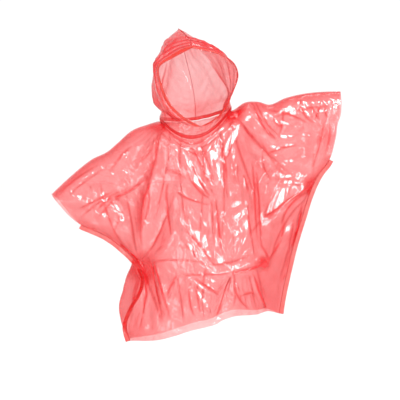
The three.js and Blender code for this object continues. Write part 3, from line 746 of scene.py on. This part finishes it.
def gridFrom(tableRows, at):
    return pointsOf(curveThrough(tableRows, "at")(at))


def hoodFoot(p, hand):
    return neckFoot(hand * p) + np.array([0, 0, hood["rise"]])


def hoodHalf(p, q, hand):
    front, back = hoodFoot(np.array([0.0]), hand)[0], hoodFoot(np.array([1.0]), hand)[0]
    opening = leftBrim if hand < 0 else rightBrim
    share = np.clip(q / hood["chin"], 0, 1)[..., None]
    chin = gridFrom(opening, np.array(hood["chin"]))
    brimEdge = np.where((q < hood["chin"])[..., None], front + (chin - front) * share, gridFrom(opening, q))
    rows = {name: np.concatenate([[value], backSeam[name]]) for name, value in zip(
        ["at", "x", "y", "z"], [0, *back])}
    rear = gridFrom(rows, q)
    crown = gridFrom(crownSeam, p)
    foot = hoodFoot(p, hand)
    crownEnds = gridFrom(crownSeam, np.array([0.0, 1.0]))
    p3, q3 = p[..., None], q[..., None]
    shared = (1 - p3) * (1 - q3) * front + p3 * (1 - q3) * back
    shared = shared + (1 - p3) * q3 * crownEnds[0] + p3 * q3 * crownEnds[1]
    points = (1 - q3) * foot + q3 * crown + (1 - p3) * brimEdge + p3 * rear - shared
    fullness = np.sin(math.pi * p) * np.sin(math.pi * q)
    bulge = hood["bulge"]["left" if hand < 0 else "right"]
    points[..., 0] += hand * bulge * fullness
    if hand < 0:
        slackness = np.exp(-(((q - hood["slackAt"]) / hood["slackReach"]) ** 2))
        points[..., 0] -= hood["slack"] * np.sin(math.pi * p) * slackness
    points[..., 1] += hood["bulge"]["back"] * fullness * p
    below = (1 - q) / hood["loftAt"]
    loft = below * np.exp(1 - below) * np.sqrt(np.maximum(np.sin(math.pi * p), 0))
    loft = loft * np.minimum(q * hood["loftStart"], 1)
    loft = loft * (1 if hand < 0 else p**3)
    sideways, upwards = hood["loft"]["left" if hand < 0 else "right"]
    points[..., 0] += sideways * loft
    points[..., 2] += upwards * loft
    folds = leftHoodFolds if hand < 0 else rightHoodFolds
    rise = np.zeros(np.shape(p))
    for i in range(len(folds["rise"])):
        chain = [[folds["p1"][i], folds["p2"][i]], [folds["q1"][i], folds["q2"][i]]]
        near = nearestOn(chain, p, q)[0]
        rise += folds["rise"][i] * np.exp(-((near / folds["width"][i]) ** 2))
    away = points - np.array([neck["x"], 0, 0])
    away[..., 2] = 0
    away /= np.linalg.norm(away, axis=-1, keepdims=True)
    return points + away * (rise * np.minimum(fullness * hood["foldFade"], 1))[..., None]


def makeHood(hand):
    p, q = np.meshgrid(
        np.linspace(0, 1, hood["columns"] + 1), np.linspace(0, 1, hood["rows"] + 1), indexing="ij")
    points = hoodHalf(p, q, hand)
    normals = normalsOf(points, outwards=-hand)
    along, up = p * hoodScale["along"], q * hoodScale["up"]
    height, creaseShade = creaseHeight(leftHoodCreases if hand < 0 else rightHoodCreases, along, up)
    for kind in (hood["facets"], hood["panes"]):
        height += kind["rise"] * crumple(
            kind["seed"] + hand, along, up, kind["size"], kind["lean"], kind["spread"])
    offBrim = np.clip((p - hoodFade["brimShare"] * hood["brim"]) * hoodFade["brim"], 0, 1)
    offBrim = offBrim * np.minimum((1 - p) * hoodFade["back"], 1)
    free = offBrim * np.minimum(np.minimum(q * hoodFade["neck"], (1 - q) * hoodFade["crown"]), 1)
    # both halves of a pleat move alike at the seam that they cross
    # the pleats also carry painted shade along their crests
    pleat, pleatShade = creaseHeight(hoodPleats, along, up)
    upright = normals.copy()
    upright[..., 0] *= np.minimum((1 - q) * hoodFade["seam"], 1)
    upright /= np.linalg.norm(upright, axis=-1, keepdims=True)
    points = points + normals * (height * free)[..., None] + upright * (pleat * offBrim)[..., None]
    creaseShade = np.clip(creaseShade + pleatShade * offBrim, 0, 1)
    onSeam = (p == 1) | (q == 1) | ((p == 0) & (q < hood["chin"]))
    points[..., 0] += np.where(onSeam, hand * cut["shell"] / 2 * np.abs(normals[..., 0]), 0)
    return points, creaseShade


print("shaping the hood")
hoodGrids = {-1: makeHood(-1), 1: makeHood(1)}


def linear(code):
    # sRGB hex to linear RGBA
    values = [int(code[i:i + 2], 16) / 255 for i in (0, 2, 4)]
    return [v / 12.92 if v <= 0.04045 else ((v + 0.055) / 1.055) ** 2.4 for v in values] + [1.0]


def addNode(tree, kind, inputs=None, **settings):
    # one node with its settings, values and links; an input may be a value or (node, output)
    node = tree.nodes.new(kind)
    for name, value in settings.items():
        setattr(node, name, value)
    for key, value in (inputs or {}).items():
        if isinstance(value, tuple) and isinstance(value[0], bpy.types.Node):
            tree.links.new(value[0].outputs[value[1]], node.inputs[key])
        else:
            node.inputs[key].default_value = value
    return node


filmLook = {
    "tint": "FAE5E5",  # what one surface lets through, seen flat-on
    "pigment": "EE3039",
    "scatter": 0.11,  # share of light that one surface scatters
    # deeper tint and scatter where film is bunched at the welds, also used as painted shade along the sharper
    # creases
    "gatherAndCreaseShadeTint": "EA7270",
    "gatherAndCreaseShadeScatter": 0.42,
    "roughness": 0.09,
    "mirror": 0.04,  # what one surface reflects, seen flat-on, and what it adds when seen edge-on
    "glance": 0.5,
    "crease": 0.0045,  # metres: how deep the sharp creases, the facets and the grain are
    "facet": 0.00055,
    "grain": 0.00012,
}
# both sheets melted into one strip: deeper red, matt and less see-through
weldLook = {
    "tint": "F6C6C3", "pigment": "E0161E", "scatter": 0.24, "gatherAndCreaseShadeTint": "E06060", "gatherAndCreaseShadeScatter": 0.3,
    "roughness": 0.36, "mirror": 0.014, "glance": 0.1, "crease": 0.002, "facet": 0.0008, "grain": 0.0002,
}
# film turned over and sealed to itself: milky, and more orange than one layer
brimLook = {
    "tint": "EFA598", "pigment": "E8402E", "scatter": 0.42, "gatherAndCreaseShadeTint": "E06060", "gatherAndCreaseShadeScatter": 0.3,
    "roughness": 0.2, "mirror": 0.035, "glance": 0.1, "crease": 0.002, "facet": 0.0008, "grain": 0.0002,
}


def filmMaterial(name, look):
    # Blown low-density polyethylene film, dyed through: see-through, glossy, crinkled from being packed.
    # One layer is pale pink, and layers and film seen edge-on add up to strong red; painted shade deepens the
    # red along the sharper creases.
    material = bpy.data.materials.new(name)
    material.use_nodes = True
    tree = material.node_tree
    tree.nodes.clear()
    coords = addNode(tree, "ShaderNodeTexCoord")
    place = (coords, "Object")
    # the die leaves slightly thicker and thinner stretches, some 60 mm across
    patches = addNode(tree, "ShaderNodeTexNoise", {"Vector": place, "Scale": 16.0, "Detail": 2.0})
    # film bunched at the welds, and painted shade along the sharper creases
    gather = addNode(tree, "ShaderNodeAttribute", attribute_name="gather")
    # packing creases: straight-sided, about 25 mm apart across the sheet and 59 mm down it
    sway = addNode(tree, "ShaderNodeTexNoise", {"Vector": place, "Scale": 14.0, "Detail": 1.0})
    bent = addNode(tree, "ShaderNodeMix", {0: 0.045, 4: (coords, "UV"), 5: (sway, "Color")},
                   data_type="VECTOR", clamp_factor=True)
    drawn = addNode(tree, "ShaderNodeMapping", {"Vector": (bent, 1), "Scale": (40.0, 17.0, 1.0)})
    cells = addNode(tree, "ShaderNodeTexVoronoi", {"Vector": (drawn, 0), "Scale": 1.0},
                    feature="DISTANCE_TO_EDGE", voronoi_dimensions="2D")
    crest = addNode(tree, "ShaderNodeMath", {0: (cells, "Distance"), 1: 0.1}, operation="MINIMUM")
    flank = addNode(tree, "ShaderNodeMath", {0: (cells, "Distance"), 1: 0.14, 2: (crest, 0)},
                    operation="MULTIPLY_ADD")
    # smaller facets 11 mm across, only in some places, and a fine grain of 3 mm
    facets = addNode(tree, "ShaderNodeTexVoronoi", {"Vector": (bent, 1), "Scale": 90.0},
                     feature="DISTANCE_TO_EDGE", voronoi_dimensions="2D")
    some = addNode(tree, "ShaderNodeMapRange", {
        "Value": (sway, "Fac"), "From Min": 0.42, "From Max": 0.62, "To Min": 0.1, "To Max": 1.0})
    facetted = addNode(tree, "ShaderNodeMath", {0: (facets, "Distance"), 1: (some, "Result")},
                       operation="MULTIPLY")
    grain = addNode(tree, "ShaderNodeTexNoise", {"Vector": place, "Scale": 300.0, "Detail": 1.0})
    creased = addNode(tree, "ShaderNodeBump",
                      {"Height": (flank, 0), "Strength": 1.0, "Distance": look["crease"]})
    wide = addNode(tree, "ShaderNodeBump", {
        "Height": (facetted, 0), "Strength": 1.0, "Distance": look["facet"], "Normal": (creased, "Normal")})
    bump = addNode(tree, "ShaderNodeBump", {
        "Height": (grain, "Fac"), "Strength": 1.0, "Distance": look["grain"], "Normal": (wide, "Normal")})
    # light crosses more film where the wall is seen at a slant
    facing = addNode(tree, "ShaderNodeLayerWeight", {"Blend": 0.5, "Normal": (wide, "Normal")})
    slant = addNode(tree, "ShaderNodeMath", {0: 1.0, 1: (facing, "Facing")}, operation="SUBTRACT")
    crossing = addNode(tree, "ShaderNodeMath", {0: (slant, 0), 1: 0.48}, operation="MAXIMUM")
    path = addNode(tree, "ShaderNodeMath", {0: 1.0, 1: (crossing, 0)}, operation="DIVIDE")
    tint = addNode(tree, "ShaderNodeMix", {
        0: (gather, "Fac"), 6: linear(look["tint"]), 7: linear(look["gatherAndCreaseShadeTint"])}, data_type="RGBA")
    deeper = addNode(tree, "ShaderNodeGamma", {"Color": (tint, 2), "Gamma": (path, 0)})
    clear = addNode(tree, "ShaderNodeBsdfTransparent", {"Color": (deeper, 0)})
    cloudy = addNode(tree, "ShaderNodeMapRange", {
        "Value": (patches, "Fac"), "From Min": 0.3, "From Max": 0.7,
        "To Min": look["scatter"] * 0.8, "To Max": look["scatter"] * 1.2})
    slanted = addNode(tree, "ShaderNodeMath", {0: (cloudy, "Result"), 1: (path, 0)}, operation="MULTIPLY")
    gatherAndCreaseShadeShare = addNode(tree, "ShaderNodeMath",
                       {0: (gather, "Fac"), 1: look["gatherAndCreaseShadeScatter"]}, operation="MULTIPLY")
    scatter = addNode(tree, "ShaderNodeMath", {0: (slanted, 0), 1: (gatherAndCreaseShadeShare, 0)},
                      operation="ADD", use_clamp=True)
    surface = addNode(tree, "ShaderNodeBsdfPrincipled", {
        "Base Color": linear(look["pigment"]), "Roughness": look["roughness"], "IOR": 1.51,
        "Normal": (bump, "Normal")})
    through = addNode(tree, "ShaderNodeBsdfTranslucent",
                      {"Color": linear(look["pigment"]), "Normal": (wide, "Normal")})
    body = addNode(tree, "ShaderNodeMixShader", {0: 0.45, 1: (surface, 0), 2: (through, 0)})
    film = addNode(tree, "ShaderNodeMixShader", {0: (scatter, 0), 1: (clear, 0), 2: (body, 0)})
    # the clear share is still a glossy surface
    gloss = addNode(tree, "ShaderNodeBsdfGlossy",
                    {"Color": (1, 1, 1, 1), "Roughness": look["roughness"], "Normal": (bump, "Normal")})
    steep = addNode(tree, "ShaderNodeMath", {0: (facing, "Facing"), 1: 5.0}, operation="POWER")
    mirror = addNode(tree, "ShaderNodeMath", {0: (steep, 0), 1: look["glance"], 2: look["mirror"]},
                     operation="MULTIPLY_ADD")
    shiny = addNode(tree, "ShaderNodeMixShader", {0: (mirror, 0), 1: (film, 0), 2: (gloss, 0)})
    addNode(tree, "ShaderNodeOutputMaterial", {"Surface": (shiny, 0)})
    return material


filmSkin = filmMaterial("blownPolyethyleneFilm", filmLook)
weldSkin = filmMaterial("heatSealedFilm", weldLook)
brimSkin = filmMaterial("turnedEdgeFilm", brimLook)


def placed(name, data):
    # a new object in the scene
    item = bpy.data.objects.new(name, data)
    bpy.context.collection.objects.link(item)
    return item


def gridMesh(name, points, material, wall, outwards=1, closed=False, gather=None):
    # a sheet from a grid of points in mm, given a wall
    columns, rows = points.shape[:2]
    wide = columns if closed else columns - 1
    i, j = np.meshgrid(np.arange(wide), np.arange(rows - 1), indexing="ij")
    following = (i + 1) % columns
    corners = [i * rows + j, i * rows + j + 1, following * rows + j + 1, following * rows + j]
    faces = np.stack(corners, axis=-1).reshape(-1, 4)
    if outwards < 0:
        faces = faces[:, ::-1]
    mesh = bpy.data.meshes.new(name)
    mesh.from_pydata((points.reshape(-1, 3) * mm).tolist(), [], faces.tolist())
    mesh.shade_smooth()
    # the sheet's own measure: metres across it and down it
    across = np.linalg.norm(np.diff(points, axis=0), axis=-1).mean(axis=1)
    down = np.linalg.norm(np.diff(points, axis=1), axis=-1)
    run = np.zeros((columns, rows, 2))
    run[1:, :, 0] = np.cumsum(across)[:, None]
    run[:, 1:, 1] = np.cumsum(down, axis=1)
    flow = mesh.uv_layers.new(name="flow")
    flow.data.foreach_set("uv", (run.reshape(-1, 2)[faces.reshape(-1)] * mm).astype(np.float32).reshape(-1))
    extra = mesh.attributes.new("gather", "FLOAT", "POINT")
    amount = np.zeros(columns * rows) if gather is None else gather.reshape(-1)
    extra.data.foreach_set("value", amount.astype(np.float32))
    piece = placed(name, mesh)
    mesh.materials.append(material)
    solidify = piece.modifiers.new("wall", "SOLIDIFY")
    solidify.thickness = wall * mm
    solidify.offset = 0
    return piece


# where the film is bunched at a weld: x, z and reach
bunches = ((-145, -368, 26), (284, -160, 16), (-101, 0, 18), (80, 26, 18), (160, -352, 10))


# film bunched at the welds, plus the painted shade along the creases
def gatherAndCreaseShadeAmount(points, creaseShade):
    amount = creaseShade.copy()
    for x, z, reach in bunches:
        amount += np.exp(-(((points[..., 0] - x) ** 2 + (points[..., 2] - z) ** 2) / reach**2))
    return np.clip(amount, 0, 1)


print("making the sheets")
frontFilm = gridMesh("frontFilm", frontPoints, filmSkin, cut["shell"],
                     gather=gatherAndCreaseShadeAmount(frontPoints, frontCreaseShade))
backFilm = gridMesh("backFilm", backPoints, filmSkin, cut["shell"], outwards=-1,
                    gather=gatherAndCreaseShadeAmount(backPoints, backCreaseShade))


weld = {
    "width": 10, "root": 1.0, "clear": 0.45,  # the flange, its straight root, and its gap to the sheets
    "ripple": 1.8, "ripples": 9, "curl": 1.3,
    "pitches": (23, 41, 67), "unevenness": (0.25, 0.6),  # small ripples, and how high they are
    "turn": 1.1,  # how far it turns forwards beside the back sheet's pouch
    "steps": 150, "rows": 6,
}


def weldLine(curve):
    # the side weld's root, from the cuff down to the hem
    return pointsOf(curve(np.linspace(cuffShare, 1, weld["steps"] + 1)))


def makeWeld(name, curve, outwards, seed):
    # the flange of both sheets melted together, which ripples along its free edge
    edge = weldLine(curve)
    along = np.gradient(edge, axis=0)
    away = np.stack([along[:, 2], np.zeros(len(edge)), -along[:, 0]], axis=-1) * outwards
    away /= np.linalg.norm(away, axis=-1, keepdims=True)
    pouch = pouchShare(edge[:, 2]) * (edge[:, 0] < 0)
    start = edge + away * (weld["clear"] * (1 + pouch))[:, None]
    root = start + away * weld["root"]
    away[:, 1] = -weld["turn"] * pouch
    away /= np.linalg.norm(away, axis=-1, keepdims=True)
    t = np.linspace(0, 1, len(edge))
    rng = np.random.default_rng(seed)
    ripple = weld["ripple"] * np.sin(2 * math.pi * weld["ripples"] * t)
    for pitch in weld["pitches"]:
        ripple += rng.uniform(*weld["unevenness"]) * np.sin(2 * math.pi * (pitch * t + rng.uniform()))
    columns = [start]
    for share in np.linspace(0, 1, weld["rows"]):
        point = root + away * ((weld["width"] - weld["root"]) * share)
        point[:, 1] += ripple * share ** weld["curl"]
        columns.append(point)
    points = np.stack(columns)
    return gridMesh(name, points, weldSkin, cut["weldShell"], outwards=-outwards)


print("making the welds and the hood")
leftWeld = makeWeld("leftWeldFlange", leftCurve, 1, 31)
rightWeld = makeWeld("rightWeldFlange", rightCurve, -1, 32)


def makeNeckBand():
    steps = np.linspace(1, -1, 4 * cut["neckColumns"] + 1)[:-1]
    foot = neckFoot(steps)
    away = foot - np.array([neck["x"], 0, 0])
    away[:, 2] = 0
    away /= np.linalg.norm(away, axis=-1, keepdims=True)
    sway = cloud(neck["swaySeed"], neck["swaySize"], steps, steps * 0) * neck["sway"]
    pucker = neck["pucker"] * np.sin(math.pi * neck["puckers"] * steps + 3 * sway)
    lines = []
    for share in np.linspace(0, 1, neck["rows"]):
        line = foot + away * (pucker * math.sin(math.pi * share))[:, None]
        line[:, 2] += neck["band"] * share
        lines.append(line)
    band = np.stack(lines, axis=1)
    gatherAndCreaseShadeShare = np.full(band.shape[:2], neck["gather"])
    return gridMesh("neckWeldBand", band, weldSkin, cut["weldShell"], closed=True, gather=gatherAndCreaseShadeShare)


neckBand = makeNeckBand()

hoodFilm, brimStrip = {}, {}
for side, hand in (("left", -1), ("right", 1)):
    points, creaseShade = hoodGrids[hand]
    # the hood film carries painted shade along its creases and pleats
    hoodFilm[side] = gridMesh(f"{side}HoodFilm", points, filmSkin, cut["shell"], outwards=-hand, gather=creaseShade)
    strip, at = np.meshgrid(np.linspace(0, hood["brim"], hood["brimColumns"]),
                            np.linspace(hood["chin"], 1, hood["brimRows"]), indexing="ij")
    edge = hoodHalf(strip, at, hand)
    tilt = normalsOf(edge, outwards=-hand)
    waving = crumple(brimPuckers["seed"] + hand, at * brimPuckers["length"], strip * brimPuckers["width"],
                     brimPuckers["size"], 0, brimPuckers["spread"])
    pucker = brimPuckers["rise"] * waving / brimPuckers["most"]
    lift = hood["brimLift"] + pucker * np.sin(math.pi * strip / hood["brim"])
    brimStrip[side] = gridMesh(f"{side}BrimStrip", edge + tilt * lift[..., None], brimSkin, cut["brimShell"],
                               outwards=-hand)


beadSize = {"Spacing": 0.004, "Radius": 0.0008, "Unevenness": 0.25, "Seed": 5}
beadPath = {"neckSteps": 201, "neckLift": 0.4, "seamSteps": 80, "offPeak": 9, "seamRadius": 0.0005}


def beadTree():
    # a melted bead that follows a line: resampled, given an uneven radius and swept with a round
    tree = bpy.data.node_groups.new("weldBead", "GeometryNodeTree")
    face = tree.interface
    face.new_socket("Geometry", in_out="INPUT", socket_type="NodeSocketGeometry")
    for name in ("Spacing", "Radius", "Unevenness"):
        face.new_socket(name, in_out="INPUT", socket_type="NodeSocketFloat")
    face.new_socket("Seed", in_out="INPUT", socket_type="NodeSocketInt")
    face.new_socket("Skin", in_out="INPUT", socket_type="NodeSocketMaterial")
    face.new_socket("Geometry", in_out="OUTPUT", socket_type="NodeSocketGeometry")
    given = addNode(tree, "NodeGroupInput")
    line = addNode(tree, "GeometryNodeMeshToCurve", {"Mesh": (given, "Geometry")})
    even = addNode(tree, "GeometryNodeResampleCurve",
                   {"Curve": (line, "Curve"), "Length": (given, "Spacing")}, mode="LENGTH")
    least = addNode(tree, "ShaderNodeMath", {0: 1.0, 1: (given, "Unevenness")}, operation="SUBTRACT")
    most = addNode(tree, "ShaderNodeMath", {0: 1.0, 1: (given, "Unevenness")}, operation="ADD")
    uneven = addNode(tree, "FunctionNodeRandomValue",
                     {2: (least, 0), 3: (most, 0), "Seed": (given, "Seed")}, data_type="FLOAT")
    radius = addNode(tree, "ShaderNodeMath", {0: (uneven, 1), 1: (given, "Radius")}, operation="MULTIPLY")
    circle = addNode(tree, "GeometryNodeCurvePrimitiveCircle", {"Resolution": 7, "Radius": 1.0})
    tube = addNode(tree, "GeometryNodeCurveToMesh",
                   {"Curve": (even, "Curve"), "Profile Curve": (circle, "Curve"), "Scale": (radius, 0),
                    "Fill Caps": True})
    smooth = addNode(tree, "GeometryNodeSetShadeSmooth", {"Geometry": (tube, "Mesh")})
    whole = addNode(tree, "GeometryNodeRealizeInstances", {"Geometry": (smooth, "Geometry")})
    skinned = addNode(tree, "GeometryNodeSetMaterial",
                      {"Geometry": (whole, "Geometry"), "Material": (given, "Skin")})
    addNode(tree, "NodeGroupOutput", {"Geometry": (skinned, "Geometry")})
    return tree


beads = beadTree()


def makeBead(name, path, skin, closed=False, radius=beadSize["Radius"]):
    mesh = bpy.data.meshes.new(name + "Line")
    count = len(path)
    edges = [(i, (i + 1) % count) for i in range(count if closed else count - 1)]
    mesh.from_pydata((path * mm).tolist(), edges, [])
    line = placed(name + "Line", mesh)
    modifier = line.modifiers.new("bead", "NODES")
    modifier.node_group = beads
    sockets = {item.name: item.identifier for item in beads.interface.items_tree if item.in_out == "INPUT"}
    for key, value in {**beadSize, "Radius": radius, "Skin": skin}.items():
        modifier[sockets[key]] = value
    done = line.evaluated_get(bpy.context.evaluated_depsgraph_get())
    solid = bpy.data.meshes.new_from_object(done)
    bpy.data.objects.remove(line)
    solid.name = name
    return placed(name, solid)


print("laying the weld beads")
leftBead = makeBead("leftWeldBead", weldLine(leftCurve), weldSkin)
rightBead = makeBead("rightWeldBead", weldLine(rightCurve), weldSkin)
neckSteps = np.linspace(1, -1, beadPath["neckSteps"])[:-1]
neckLine = neckFoot(neckSteps) + np.array([0, 0, neck["band"] + beadPath["neckLift"]])
neckBead = makeBead("neckWeldBead", neckLine, weldSkin, closed=True)
shares = np.linspace(0, 1, beadPath["seamSteps"])
seamUp = hoodHalf(np.ones(len(shares)), shares, -1)
seamForward = gridFrom(crownSeam, shares[::-1])[1:]
hoodSeam = np.concatenate([seamUp, seamForward])
offPeak = np.linalg.norm(hoodSeam - hoodSeam[len(seamUp) - 1], axis=1) > beadPath["offPeak"]
hoodBead = makeBead("hoodSeamBead", hoodSeam[offPeak], weldSkin, radius=beadPath["seamRadius"])


def settle(piece, slot, *nodes):
    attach(piece, "root")
    if nodes:
        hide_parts(*nodes)


for piece, slot, node in (
        (frontFilm, "film", "front_panel"), (backFilm, "film", "back_panel"),
        (leftWeld, "weld", "weld_left"), (rightWeld, "weld", "weld_right"), (neckBand, "weld", "neck_weld")):
    settle(piece, slot, node)
for side in ("left", "right"):
    settle(hoodFilm[side], "film", f"hood_{side}")
    settle(brimStrip[side], "brim", f"brim_{side}")
for bead in (leftBead, rightBead, neckBead, hoodBead):
    settle(bead, "weld")


print("setting the floor, the lights and the camera")
stage = {"floorDrop": 0.4, "floorSize": 60, "floorColour": "FBFAF9", "world": 1.06}
camera = {"aim": (0, 0, -0.195), "distance": 5.0, "elevation": 2.0, "viewWidth": 1.0}
lights = [
    # name, place, width, height, watts
    ("keySoftbox", (0.85, -2.88, 1.3), 0.85, 2.2, 110),
    ("fillSoftbox", (-1.8, -2.6, -0.5), 1.6, 1.6, 25),
    ("topSoftbox", (0.2, 0.7, 2.9), 1.1, 0.9, 12),
]
lightsAim = (0, 0, -0.1)

floorMesh = bpy.data.meshes.new("floor")
half = stage["floorSize"] / 2
level = cadBox[0][2] - stage["floorDrop"]
floorCorners = ((-half, -half), (half, -half), (half, half), (-half, half))
floorMesh.from_pydata([(x, y, level) for x, y in floorCorners], [], [(0, 1, 2, 3)])
floor = placed("floor", floorMesh)
paper = bpy.data.materials.new("studioPaper")
paper.use_nodes = True
paper.node_tree.nodes.clear()
matt = addNode(paper.node_tree, "ShaderNodeBsdfDiffuse", {"Color": linear(stage["floorColour"])})
addNode(paper.node_tree, "ShaderNodeOutputMaterial", {"Surface": (matt, 0)})
floorMesh.materials.append(paper)
floor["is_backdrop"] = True

world = bpy.data.worlds.new("studio")
world.use_nodes = True
world.node_tree.nodes.clear()
glow = addNode(world.node_tree, "ShaderNodeBackground", {"Color": (1, 1, 1, 1), "Strength": stage["world"]})
addNode(world.node_tree, "ShaderNodeOutputWorld", {"Surface": (glow, 0)})
bpy.context.scene.world = world
bpy.context.scene.view_settings.view_transform = "Standard"
bpy.context.scene.cycles.transparent_max_bounces = 48


def aimAt(item, place, target):
    item.location = place
    item.rotation_euler = (Vector(target) - Vector(place)).to_track_quat("-Z", "Y").to_euler()


for name, place, width, height, watts in lights:
    data = bpy.data.lights.new(name, "AREA")
    data.shape = "RECTANGLE"
    data.size, data.size_y = width, height
    data.energy = watts
    aimAt(placed(name, data), place, lightsAim)

view = bpy.data.cameras.new("camera")
view.sensor_width = 36
view.lens = view.sensor_width * camera["distance"] / camera["viewWidth"]
eye = placed("camera", view)
rise = math.radians(camera["elevation"])
offset = Vector((0, -math.cos(rise), math.sin(rise))) * camera["distance"]
aimAt(eye, Vector(camera["aim"]) + offset, camera["aim"])
bpy.context.scene.camera = eye

{"cad": [list(corner) for corner in cadBox], "visual": [list(corner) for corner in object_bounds()]}
